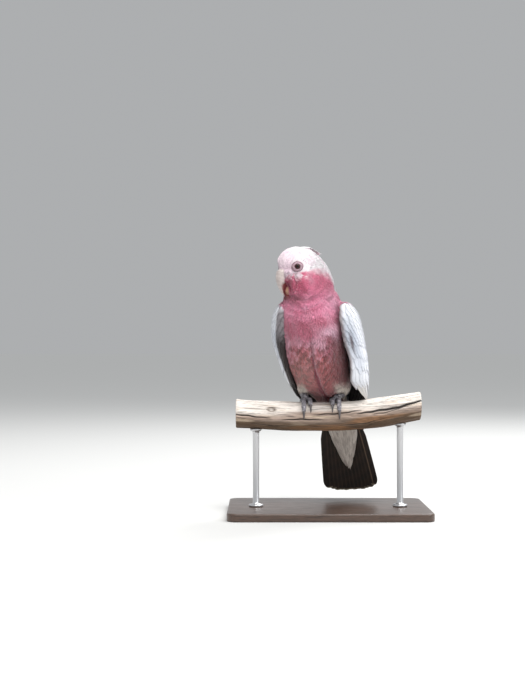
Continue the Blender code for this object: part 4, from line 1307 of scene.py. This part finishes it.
def on_tail(down_by, across_by, belly_by):
    """A place down the tail from its root, across it, and out towards the belly."""
    steps = (down_by, TAIL_DOWN), (across_by, tail_across), (belly_by, tail_belly)
    return np.array(TAIL_ROOT) + sum(np.asarray(by)[..., None] * way for by, way in steps)


def tail_arch(across):
    """How far the closed fan's edges stand forward of its middle."""
    return 3.2 * (across / 32.0) ** 2


def tail_unwrap(down_by, across_by, below):
    """A place on a flat map of the tail, its two faces side by side."""
    place = np.stack([0.25 + across_by / 160.0 + 0.5 * below, 0.05 + down_by / 140.0], axis=-1)
    return np.clip(place, 0.01, 0.99)


TAIL_FEATHERS = 12
SOOTY, BROWNISH, SHAFT = srgb(34, 31, 29), srgb(50, 39, 33), srgb(120, 100, 84)
EDGE_BROWN, FRINGE = srgb(84, 70, 60), srgb(214, 198, 172)


def tail_fan():
    """The long feathers, each side's outer ones tucked under the inner ones."""
    blank = vane(12, 26, point=0.0, shoulder=0.87)
    corners = blank[0]
    down, across = corners[:, 1], corners[:, 0]
    share = np.clip(down, 0.0, 1.0)
    reach = np.minimum(down, 0.98 + 0.35 * (down - 0.98))
    last = TAIL_FEATHERS - 1
    dice = np.random.default_rng(71)
    points, tints, unwrap = [], [], []
    for k in range(TAIL_FEATHERS):
        place_across = (2 * k - last) / last
        length = TAIL_LENGTH * (1.0 - 0.06 * abs(place_across) ** 3 - 0.005 * (k % 2))
        half = 24.0 + 12.5 * share**0.7 - 7.4
        side = place_across * half + across * (17.0 - 2.0 * (k % 2)) * (0.9 + 0.1 * share)
        tuck = np.abs(place_across) * 1.3 - 0.65
        away = across * np.sign(place_across) * 0.6
        lift = tail_arch(side) + tuck + away + corners[:, 2] * 0.28 - 0.3 * (2 * across) ** 2
        points.append(on_tail(length * reach, side, lift))
        tint = mixed(SOOTY, BROWNISH, 0.5 + 0.5 * np.sin(40.0 * share + 9.0 * across + k))
        tint = tint * (1.0 - 0.25 * share)[:, None] * dice.uniform(0.9, 1.1)
        tints.append(washed(
            tint,
            (SHAFT, (0.85 if k == last else 0.12) * hump(across, 0.0, 0.03)),
            (EDGE_BROWN, 0.35 * hump(np.abs(across), 0.5, 0.05)),
            (FRINGE, 0.6 * eased(0.966, 0.995, share)),
        ))
        unwrap.append(tail_unwrap(length * 0.4, place_across * 30.0, 0.0))
    return feather_mesh("tail_vanes", blank, points, tints, unwrap, vane_finish)


# Down the tail, half width, depth.
UNDERTAIL = ((-12.0, 15.0, 15.0), (0.0, 18.0, 16.0), (14.0, 20.0, 11.0), (32.0, 18.0, 7.0),
             (60.0, 10.0, 3.6), (86.0, 1.6, 1.0))
UPPERTAIL = ((-12.0, 17.0, 6.0), (10.0, 19.0, 5.0), (30.0, 16.0, 3.0), (48.0, 8.0, 1.2))
COVERT_ROWS = 15


def tail_coverts(name, table, below, light, shade, seed):
    """Soft feathers heaped over the tail's root on one face, tapering to a point."""
    dice = np.random.default_rng(seed)
    blank = vane(4, 8, point=0.9)
    corners = blank[0]
    share = np.clip(corners[:, 1], 0.0, 1.0)
    last = table[-1][0]
    points, tints, unwrap = [], [], []
    for keep in (0.55, 1.0):  # an under layer and the one that shows
        for row in range(COVERT_ROWS):
            first = -12.0 + (last - 22.0) * row / (COVERT_ROWS - 1)
            width = float(read(table, [first + 10.0], 1)[0])
            count = max(2, int(2 * width / 3.3))
            for k in range(count):
                part = (2 * (k + 0.5 * (row % 2)) / count - 0.9) * 0.86
                start = first + dice.uniform(-1.5, 1.5)
                length = dice.uniform(24.0, 34.0) * (1.0 - 0.15 * abs(part))
                at = start + length * share
                half, deep = read(table, at, 1), read(table, at, 2)
                spread = part * half + corners[:, 0] * 5.6
                over = np.clip(np.abs(spread) / np.maximum(half, 1.0), 0.0, 1.0)
                high = deep * keep * np.sqrt(1.0 - 0.92 * over**2) - 0.8 + 1.1 * share
                high = high + corners[:, 2] * 0.2 - 0.5 * (2 * corners[:, 0]) ** 2
                lift = tail_arch(spread) + (1.3 + high if below else -1.3 - high)
                points.append(on_tail(at, spread, lift))
                root = mixed(shade, light, [dice.uniform(0.1, 0.9)])[0]
                streak = 0.5 + 0.5 * np.sin(corners[:, 0] * 26.0 + dice.uniform(0.0, 6.0))
                tints.append(mixed(root * 0.94, root * 1.06, share) * (0.92 + 0.12 * streak)[:, None])
                unwrap.append(tail_unwrap(start, part * width, 1.0 * below))
    return feather_mesh(name, blank, points, tints, unwrap, vane_finish)


tail = tail_fan()
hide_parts("tail")
undertail = tail_coverts("undertail_covert_feathers", UNDERTAIL, True, srgb(214, 206, 198),
                         srgb(168, 158, 150), 72)
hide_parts("undertail_coverts")
uppertail = tail_coverts("uppertail_covert_feathers", UPPERTAIL, False, srgb(214, 214, 218),
                         srgb(150, 150, 156), 73)
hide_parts("uppertail_coverts")

# ---- Feet and claws -----------------------------------------------------------------------
# Two toes point forward and two back, as in every parrot, and close round the wood. Scutes
# cross the toes' upper side, small scales cover the rest, and pads lie under each joint.
FEET = {"left": (19.6, 29.0, 1), "right": (-17.2, -21.8, -1)}  # x of foot and ankle, side
FOOT_VOXEL = 0.58
TOE_RADIUS, TOE_STANDOFF = 3.1, 0.5
CLAW_RADIUS, CLAW_SEAT, WOOD_RADIUS = 1.6, 1.8, 18.0
SCUTE_ANGLE = 5.4  # degrees round the wood that one scute takes
SCUTE_HIGH, PEBBLE_HIGH = 0.34, 0.20
FOOT_GREY, FOOT_DARK, FOOT_MEALY = srgb(140, 137, 143), srgb(74, 70, 76), srgb(184, 180, 184)
CLAW_DARK, CLAW_PALE = srgb(46, 42, 44), srgb(98, 92, 92)
# Toe: step to the outer side at root and at tip, angle from the wood's top where the toe
# starts, where it ends, and where its claw ends.
TOES = (
    (-3.8, -6.0, -15.0, -48.0, -74.0), (-3.8, -5.0, 15.0, 50.0, 74.0),
    (3.3, 3.6, 15.0, 74.0, 100.0), (3.8, 6.5, -15.0, -66.0, -94.0),
)


def wood_centre(x):
    """The branch's middle line: it rises towards both ends, more to the left of the bird."""
    x = np.asarray(x, float)
    rise = np.where(x > 0, 8.5, 3.0) * (x / 100.0) ** 2
    return np.stack([x, 0.0 * x, 122.5 + rise], axis=-1)


def round_wood(x, angle, off):
    """A place off the branch, at an angle from its top, forward being positive."""
    a, reach = np.radians(angle), WOOD_RADIUS + off
    out = np.stack([0.0 * a, -np.sin(a), np.cos(a)], axis=-1)
    return wood_centre(x) + out * np.asarray(reach)[..., None], out


def limb(around, along, line, radius):
    """A closed round limb. line(share) gives its middles and the way its upper side faces."""
    bm, turn, share = ball(around, along)
    middle, out = line(share)
    ahead = line(share + 0.01)[0] - line(share - 0.01)[0]
    ahead /= np.linalg.norm(ahead, axis=1)[:, None]
    out = out - ahead * np.sum(out * ahead, axis=1)[:, None]
    out /= np.linalg.norm(out, axis=1)[:, None]
    side = np.cross(ahead, out)
    closing = np.sqrt(np.minimum(1.0, np.minimum(share, 1.0 - share) / 0.08))
    reach = radius(share) * closing
    put(bm, middle + (out * np.cos(turn)[:, None] + side * np.sin(turn)[:, None]) * reach[:, None])
    bmesh.ops.recalc_face_normals(bm, faces=bm.faces)
    return bm


feet = []
claw_finish = worn_finish(
    "claw_horn", grain_and_wear, "tint", (0.00004, 0.5), (0.42, 0.25), {"Coat_Weight": 0.2},
    Grain=1200.0, Contrast=0.6,
)
for word, (foot_x, ankle, side) in FEET.items():
    # Down the shank: share, x, y, height, radius.
    shank_rows = (
        (0.0, ankle, 6.5, 153.0, 3.7), (0.2, ankle - side * 0.5, 5.5, 149.9, 3.7),
        (0.45, 0.6 * ankle + 0.4 * foot_x, 2.0, 148.4, 3.7),
        (0.7, 0.25 * ankle + 0.75 * foot_x, -0.8, 147.0, 4.0),
        (0.9, foot_x, -2.0, 146.0, 4.4), (1.0, foot_x - side * 3.6, -2.6, 145.4, 3.2),
    )

    def shank_line(share):
        middle = np.stack([read(shank_rows, share, column) for column in (1, 2, 3)], axis=-1)
        return middle, np.tile((0.0, -0.5, 1.0), (len(share), 1))

    limbs = [limb(20, 24, shank_line, lambda s: read(shank_rows, s, 4))]
    claws = []
    for root_step, tip_step, start, end, claw_end in TOES:

        def toe_line(share):
            step = root_step + (tip_step - root_step) * share
            x = foot_x + side * step
            return round_wood(x, start * 0.6 + (end - start * 0.6) * share, TOE_RADIUS + TOE_STANDOFF)

        def toe_radius(share):
            pads = np.cos(share * 3 * 2 * math.pi)
            return TOE_RADIUS * (1.02 - 0.22 * share + 0.08 * pads)

        def claw_line(share):
            first = end - math.copysign(math.degrees(CLAW_SEAT / WOOD_RADIUS), end)
            off = (TOE_RADIUS + TOE_STANDOFF) * (1 - share) + share + 1.6 * np.sin(share * math.pi)
            x = foot_x + side * tip_step + 0.0 * share
            return round_wood(x, first + (claw_end - first) * share, off)

        def claw_radius(share):
            return CLAW_RADIUS * (1 - np.clip(share, 0, 1)) ** 0.75 + 0.25

        limbs.append(limb(20, 30, toe_line, toe_radius))
        claws.append(limb(18, 26, claw_line, claw_radius))
    foot = wrapped(joined(limbs), FOOT_VOXEL)
    relaxed(foot, 3)
    # Scutes across the upper side, pebbled scales and pads below.
    spots = places(foot)
    normals = normals_of(foot)
    over_wood = spots[:, 2] - wood_centre(spots[:, 0])[:, 2]
    turn = np.degrees(np.arctan2(-spots[:, 1], over_wood))
    reach = np.hypot(spots[:, 1], over_wood)
    outer = eased(-0.1, 0.5, (reach - WOOD_RADIUS - TOE_STANDOFF - TOE_RADIUS) / TOE_RADIUS)
    on_toe = eased(8.0, 16.0, np.abs(turn))
    scute = np.abs(np.sin(np.radians(turn) * 0.5 * 360.0 / SCUTE_ANGLE)) ** 0.6 - 0.7
    pebble = np.abs(lumps(spots, 0.75, 81)) ** 0.7 - 0.4
    relief = SCUTE_HIGH * scute * outer * on_toe + PEBBLE_HIGH * pebble * (1.0 - outer * on_toe)
    put(foot, spots + normals * relief[:, None])
    grooves = np.clip(0.75 - 1.9 * (scute * outer + pebble * (1 - outer)), 0.0, 0.9)
    tone = mixed(FOOT_GREY, FOOT_DARK, grooves)
    tone = mixed(tone, FOOT_MEALY, 0.5 * eased(0.1, 0.9, lumps(spots, 2.4, 82)))
    feet.append((foot, tone))

    claws = joined(claws)
    heights = places(claws)[:, 2]
    piece = object_from(claws, f"claws_{word}")
    painted(piece.data, "tint", mixed(CLAW_DARK, CLAW_PALE, 0.5 + 0.5 * np.sin(heights * 5.0)))
    piece.data.materials.append(claw_finish)
    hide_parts(*(f"claw_{word}_{n}" for n in range(1, 5)))
    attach(piece, "root")

# ---- The skin as one piece ----------------------------------------------------------------
# Body skin, lids and feet join into one surface under the plumage. It carries the plumage's
# own markings where feathers cover it, and bare scaly or wrinkled colours where none do.
UNDER_COAT = 0.92  # the skin's colours under the coat, as a share of the coat's own
bare_parts = lids + feet
skin_tints = [plumage(places(skin)) * UNDER_COAT] + [tone for _, tone in bare_parts]
skin_piece = object_from(joined([skin] + [part for part, _ in bare_parts]), "skin")
painted(skin_piece.data, "plumage", np.concatenate(skin_tints))
skin_finish = worn_finish(
    "skin", grain_and_wear, "plumage", (0.00006, 0.5), (0.7, 0.55), {}, Grain=1500.0, Contrast=0.35
)
skin_piece.data.materials.append(skin_finish)
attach(skin_piece, "root")
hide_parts(*FLESH, *ARMS, *SHANKS,
            *(f"toe_{word}_{n}" for word in ("left", "right") for n in range(1, 5)))

# ---- Perch --------------------------------------------------------------------------------
# A sawn length of dead branch, bleached by weather on top and brown beneath. Long drying
# cracks run along its grain, and a knot shows where a twig broke off.
BRANCH_LEFT, BRANCH_RIGHT = -105.0, 125.0
KNOT_AT, SPECK_AT = (-61.0, 62.0), (53.0, 37.0)  # step along the branch, angle from the top
BLEACHED, DRY, UNDERSIDE_BROWN_AND_SHADE = srgb(216, 208, 200), srgb(162, 143, 130), srgb(88, 68, 50)
RUST, CRACK_SHADE, KNOT_BROWN = srgb(140, 101, 68), srgb(30, 22, 18), srgb(92, 74, 60)
PALE_STREAK, DARK_STREAK = srgb(206, 186, 162), srgb(110, 92, 78)
END_RINGS, SAWN = 26, srgb(206, 180, 146)
# Cracks along the branch: start, end, angle from the top, rise of the angle, width, depth.
CRACKS = (
    (-118.0, -62.0, 91.0, 4.0, 1.5, 1.8), (-50.0, 4.0, 101.0, -4.0, 1.4, 2.0),
    (-12.0, 52.0, 76.0, -3.0, 1.5, 2.0), (44.0, 140.0, 73.0, -9.0, 2.6, 3.0),
    (62.0, 118.0, 83.0, -7.0, 1.1, 1.4), (-95.0, -30.0, 128.0, 6.0, 1.0, 1.1),
    (10.0, 90.0, 122.0, -8.0, 1.0, 1.2), (-100.0, 20.0, 215.0, 10.0, 1.6, 2.0),
    (-30.0, 110.0, 262.0, -14.0, 1.4, 1.7), (-60.0, 60.0, 312.0, 8.0, 1.0, 1.2),
    (-90.0, -40.0, 52.0, 5.0, 0.8, 0.8), (30.0, 100.0, 38.0, -6.0, 0.8, 0.7),
    (20.0, 120.0, 170.0, 9.0, 1.5, 1.9), (-110.0, -50.0, 160.0, 5.0, 1.2, 1.4),
)


def crack_depth(x, angle):
    """How deep the wood is split at each place, and how near its pushed-up lips are."""
    split, lips = np.zeros(len(x)), np.zeros(len(x))
    for k, (start, end, middle, rise, width, depth) in enumerate(CRACKS):
        share = np.clip((x - start) / (end - start), 0.0, 1.0)
        taper = np.sin(math.pi * share) ** 0.5
        wave = 1.3 * np.sin(x / 6.5 + 2 * k) + 0.8 * np.sin(x / 2.7 + k) + 2.2 * np.sin(x / 19.0 + k)
        off = (angle - middle - rise * (2 * share - 1) - wave + 180.0) % 360.0 - 180.0
        off = np.radians(off) * WOOD_RADIUS
        split = np.maximum(split, depth * taper * hump(off, 0.0, 0.5 * width * (0.3 + 0.7 * taper)))
        lips += 0.30 * taper * hump(off, 1.4 * width, 1.1 * width)
    return split, lips


def branch():
    """The branch's side as a bmesh rolled from a flat grid, and its colours."""
    bm = bmesh.new()
    bmesh.ops.create_grid(bm, x_segments=300, y_segments=270, size=0.5)
    spots = places(bm)
    share, angle = spots[:, 0] + 0.5, (spots[:, 1] + 0.5) * 360.0
    x = BRANCH_LEFT + (BRANCH_RIGHT - BRANCH_LEFT) * share
    a = np.radians(90.0 - angle)
    away = np.minimum(1.0, (x / 60.0) ** 2)
    swell = away * (0.5 * np.sin(x / 17.0 + 2 * a) + 0.4 * np.sin(x / 29.0 - a))
    round_it = np.stack([0.35 * x / 9.0, 6 * np.cos(a), 6 * np.sin(a)], axis=1)
    free = eased(14.0, 30.0, np.abs(x - 1.0)) * 0.7 + 0.3
    long_grain = lumps(round_it, 1.1, 91) * 0.22 + lumps(round_it * (1.0, 2.0, 2.0), 0.9, 92) * 0.13
    split, lips = crack_depth(x, angle)
    on_top = np.cos(np.radians(angle))
    # The knot: a sunk oval with a raised rim.
    knot = np.hypot((x - KNOT_AT[0]) / 7.0, ((angle - KNOT_AT[1] + 180) % 360 - 180) / 13.0)
    rim = 0.9 * hump(knot, 1.0, 0.28) - 1.3 * hump(knot, 0.0, 0.75)
    speck = np.hypot(x - SPECK_AT[0], np.radians(angle - SPECK_AT[1]) * WOOD_RADIUS)
    off = swell + long_grain * free - split + (lips + rim) * free - 0.9 * hump(speck, 0.0, 1.0)
    ends = eased(0.0, 1.2, np.minimum(x - BRANCH_LEFT, BRANCH_RIGHT - x))
    put(bm, round_wood(x, angle, off - 0.8 * (1.0 - ends))[0])
    # Bleached on top, grey-brown below, and darker brown beneath, partly the wood's colour and partly
    # painted shade; orange-brown where the bark came away last.
    low = np.clip(0.5 - 0.5 * on_top + 0.10 * lumps(round_it, 3.0, 93), 0.0, 1.0)
    patch = eased(0.0, 0.9, lumps(round_it, 2.6, 94)) * eased(0.48, 0.72, low)
    return bm, washed(
        BLEACHED,
        (DRY, eased(0.22, 0.50, low)),
        (UNDERSIDE_BROWN_AND_SHADE, eased(0.52, 0.80, low)),
        (RUST, np.clip(patch * eased(-40.0, 60.0, x) + 0.35 * patch, 0.0, 0.7)),
        (PALE_STREAK, 0.45 * eased(0.5, 1.2, lumps(round_it, 1.4, 95))),
        (DARK_STREAK, 0.45 * eased(0.4, 1.2, lumps(round_it * (1, 2, 2), 1.2, 96))),
        # Painted shade darkens the cracks towards their depths.
        (CRACK_SHADE, np.clip(split / 1.3, 0.0, 0.95)),
        (KNOT_BROWN, 0.7 * hump(knot, 0.6, 0.35) + 0.6 * hump(speck, 0.0, 1.0)),
    )


bm, tints = branch()
paint_layer = bm.verts.layers.float_color.new("timber")
for vertex, tint in zip(bm.verts, tints):
    vertex[paint_layer] = (*np.clip(tint, 0.0, 1.0), 1.0)
bmesh.ops.remove_doubles(bm, verts=bm.verts, dist=0.02)
# Each sawn end closes in rings towards its heart, paler, with growth rings and saw marks.
for end_x in (BRANCH_LEFT, BRANCH_RIGHT):
    heart = Vector(wood_centre(end_x)) + Vector((0.0, 1.5, 1.0))
    rim = [e for e in bm.edges if e.is_boundary and abs(e.verts[0].co.x - end_x) < 1.0]
    for ring in range(END_RINGS):
        made = bmesh.ops.extrude_edge_only(bm, edges=rim)["geom"]
        corners = [g for g in made if isinstance(g, bmesh.types.BMVert)]
        rim = [g for g in made if isinstance(g, bmesh.types.BMEdge)]
        keep = 1.0 - 1.0 / (END_RINGS + 0.5 - ring)
        for corner in corners:
            step = corner.co - heart
            step.x = 0.0
            corner.co = heart + step * keep
            reach = step.length * keep
            ripple = 0.10 * math.sin(corner.co.z * 2.3 + 0.4 * math.sin(corner.co.y))
            corner.co.x = end_x + math.copysign(ripple - 0.05, end_x)
            dark = 0.5 + 0.5 * math.sin(reach * 1.7 + 0.7 * math.sin(3 * math.atan2(step.y, step.z)))
            tone = SAWN * (1.0 - 0.34 * dark) * (0.9 if reach > 16.0 else 1.0)
            corner[paint_layer] = (*tone, 1.0)
    bmesh.ops.pointmerge(bm, verts=corners, merge_co=heart)
bmesh.ops.recalc_face_normals(bm, faces=bm.faces)
perch = object_from(bm, "perch_branch")

# Fibres, streaks and hairline checks along the wood, which lies along X.
wood_grain, given, out = shared_group(
    "wood_grain",
    {"Place": "Vector", "Colour": "Color", "Contrast": "Float"},
    {"Colour": "Color", "Height": "Float", "Wear": "Float"},
)
long_fibre = noise(wood_grain, given["Place"], 0.0010, 6.0, (0.13, 1.0, 1.0))
streaks = noise(wood_grain, given["Place"], 0.0042, 4.0, (0.20, 1.0, 1.0))
tone = sums(wood_grain, "ADD", long_fibre, sums(wood_grain, "MULTIPLY", streaks, 0.8))
tone = sums(wood_grain, "MULTIPLY_ADD", sums(wood_grain, "SUBTRACT", tone, 0.9), given["Contrast"], 1.0)
hairline = noise(wood_grain, given["Place"], 0.0013, 4.0, (0.045, 1.0, 1.0))
check = wood_grain.nodes.new("ShaderNodeMapRange")
check.interpolation_type = "SMOOTHSTEP"
for socket, value in {"From Min": 0.36, "From Max": 0.43, "To Min": 0.5, "To Max": 1.0}.items():
    check.inputs[socket].default_value = value
wood_grain.links.new(hairline, check.inputs["Value"])
tone = sums(wood_grain, "MULTIPLY", tone, check.outputs["Result"])
wood_grain.links.new(toned(wood_grain, given["Colour"], tone), out["Colour"])
wood_grain.links.new(long_fibre, out["Height"])
wood_grain.links.new(streaks, out["Wear"])

perch.data.materials.append(worn_finish(
    "weathered_wood", wood_grain, "timber", (0.0005, 0.7), (0.85, 0.65), {}, Contrast=0.9
))
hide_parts("perch")
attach(perch, "root")

# ---- Stand --------------------------------------------------------------------------------
# A dark stained board with softened edges, and two steel rods with turned collars that carry
# the branch. The rods are glued in drilled holes.
BOARD, BOARD_MIDDLE = (250.0, 170.0, 10.0), (10.0, 10.0)
BOARD_CORNER, BOARD_EDGE = 12.0, 2.0  # radii of the board's upright corners and of its edges
BOARD_COLOUR = (*srgb(74, 56, 46), 1.0)
ROD_RADIUS, ROD_PLACES = 4.0, (-80.0, 100.0)
STEEL_COLOUR = (0.56, 0.56, 0.57, 1.0)
bm = bmesh.new()
bmesh.ops.create_cube(bm, size=1.0)
bmesh.ops.scale(bm, vec=BOARD, verts=bm.verts)
bmesh.ops.translate(bm, vec=(*BOARD_MIDDLE, BOARD[2] / 2), verts=bm.verts)
rises = [abs(e.verts[0].co.z - e.verts[1].co.z) for e in bm.edges]
upright = [e for e, rise in zip(bm.edges, rises) if rise > 1.0]
bmesh.ops.bevel(
    bm, geom=upright, offset=BOARD_CORNER, segments=12, profile=0.5, affect="EDGES", material=-1
)
level = [e for e in bm.edges if abs(e.verts[0].co.z - e.verts[1].co.z) < 0.1]
rim = [e for e in level if e.calc_face_angle(0) > 0.5]
bmesh.ops.bevel(
    bm, geom=rim, offset=BOARD_EDGE, segments=5, profile=0.5, affect="EDGES", material=-1,
    clamp_overlap=True,
)
board = object_from(bm, "stand_board")
board.data.materials.append(worn_finish(
    "stained_board", wood_grain, BOARD_COLOUR, (0.00012, 0.7), (0.42, 0.30),
    {"Coat_Weight": 0.25, "Coat_Roughness": 0.25}, Contrast=1.1,
))
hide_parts("stand_base")
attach(board, "root")

# Fine rings left by the lathe go round each rod.
steel, tree, shader = new_finish("satin_steel", 0.3, Metallic=1.0, Base_Color=STEEL_COLOUR)
turning = noise(tree, source(tree, "TexCoord", "Object"), 0.0012, 4.0, (1.0, 1.0, 0.12))
tree.links.new(sums(tree, "MULTIPLY_ADD", turning, 0.22, 0.22), shader.inputs["Roughness"])
bumped(tree, shader, turning, 0.00003, 0.5)
for word, x in zip(("left", "right"), ROD_PLACES):
    top = float(wood_centre(x)[2]) - WOOD_RADIUS
    # Radius and height up the rod: collar on the board, shaft, collar under the branch.
    profile = (
        (0.0, 6.0), (4.0, 6.0), (4.0, 10.1), (8.6, 10.1), (9.2, 10.9), (9.2, 12.2), (8.6, 13.0),
        (5.6, 13.4), (4.6, 14.4), (ROD_RADIUS, 16.0), (ROD_RADIUS, top - 5.0), (4.6, top - 3.0),
        (5.6, top - 2.0), (7.0, top - 1.6), (7.6, top + 1.2), (4.0, top + 1.6), (4.0, top + 11.0),
        (0.0, top + 11.0),
    )
    bm = spun(profile, 40)
    bmesh.ops.remove_doubles(bm, verts=bm.verts, dist=0.001)
    bmesh.ops.translate(bm, verts=bm.verts, vec=(x, 0.0, 0.0))
    bmesh.ops.recalc_face_normals(bm, faces=bm.faces)
    rod = object_from(bm, f"stand_rod_{word}_turned")
    rod.data.materials.append(steel)
    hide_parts(f"stand_rod_{word}")
    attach(rod, "root")

# ---- Floor, light and camera --------------------------------------------------------------
# A plain pale floor under three soft studio lamps and an even sky, seen level with the
# bird's belly. Sizes here are in metres, but for the floor's mesh.
FLOOR_HALF, FLOOR_COLOUR = 60000.0, (0.64, 0.64, 0.63, 1.0)
SKY_COLOUR, SKY_STRENGTH = (0.96, 0.98, 1.0, 1.0), 0.68
VIEW_HEIGHT, DISTANCE, SENSOR = 0.875, 1.6, 36.0
EYE_LEVEL, VIEW_MIDDLE = 0.2056, -0.0719
bm = bmesh.new()
bmesh.ops.create_grid(bm, x_segments=1, y_segments=1, size=FLOOR_HALF)
floor = object_from(bm, "floor")
pale, _, _ = new_finish("pale_floor", 0.9, Base_Color=FLOOR_COLOUR, Specular_IOR_Level=0.0)
floor.data.materials.append(pale)


def area_light(name, place, aim, size, power, colour):
    """A round soft lamp that faces its aim."""
    lamp = bpy.data.lights.new(name, "AREA")
    lamp.shape, lamp.size, lamp.energy, lamp.color = "DISK", size, power, colour
    made = bpy.data.objects.new(name, lamp)
    made.location = place
    made.rotation_euler = (Vector(aim) - Vector(place)).to_track_quat("-Z", "Y").to_euler()
    bpy.context.scene.collection.objects.link(made)


area_light("key", (0.1, -1.2, 2.2), (0.0, 0.0, 0.2), 1.1, 46.0, (1.0, 0.98, 0.96))
area_light("fill", (1.6, -1.0, 1.2), (0.0, 0.0, 0.2), 1.5, 20.0, (0.96, 0.98, 1.0))
area_light("rim", (0.8, 1.3, 1.7), (0.0, 0.0, 0.25), 1.0, 26.0, (1.0, 1.0, 1.0))
world = bpy.data.worlds.new("studio")
world.use_nodes = True
sky = world.node_tree.nodes["Background"]
sky.inputs["Color"].default_value = SKY_COLOUR
# The wall seen behind is as pale as the far floor, so that no horizon shows.
seen = world.node_tree.nodes.new("ShaderNodeLightPath")
dimmed = SKY_STRENGTH * (FLOOR_COLOUR[0] - 1.0)
dim = sums(world.node_tree, "MULTIPLY_ADD", seen.outputs["Is Camera Ray"], dimmed, SKY_STRENGTH)
world.node_tree.links.new(dim, sky.inputs["Strength"])
bpy.context.scene.world = world
bpy.context.scene.view_settings.view_transform = "Standard"

camera = bpy.data.objects.new("camera", bpy.data.cameras.new("camera"))
camera.location = (VIEW_MIDDLE, -DISTANCE, EYE_LEVEL)
camera.rotation_euler = (math.radians(90), 0.0, 0.0)
camera.data.sensor_width = SENSOR
camera.data.lens = SENSOR * DISTANCE / VIEW_HEIGHT
bpy.context.scene.collection.objects.link(camera)
bpy.context.scene.camera = camera
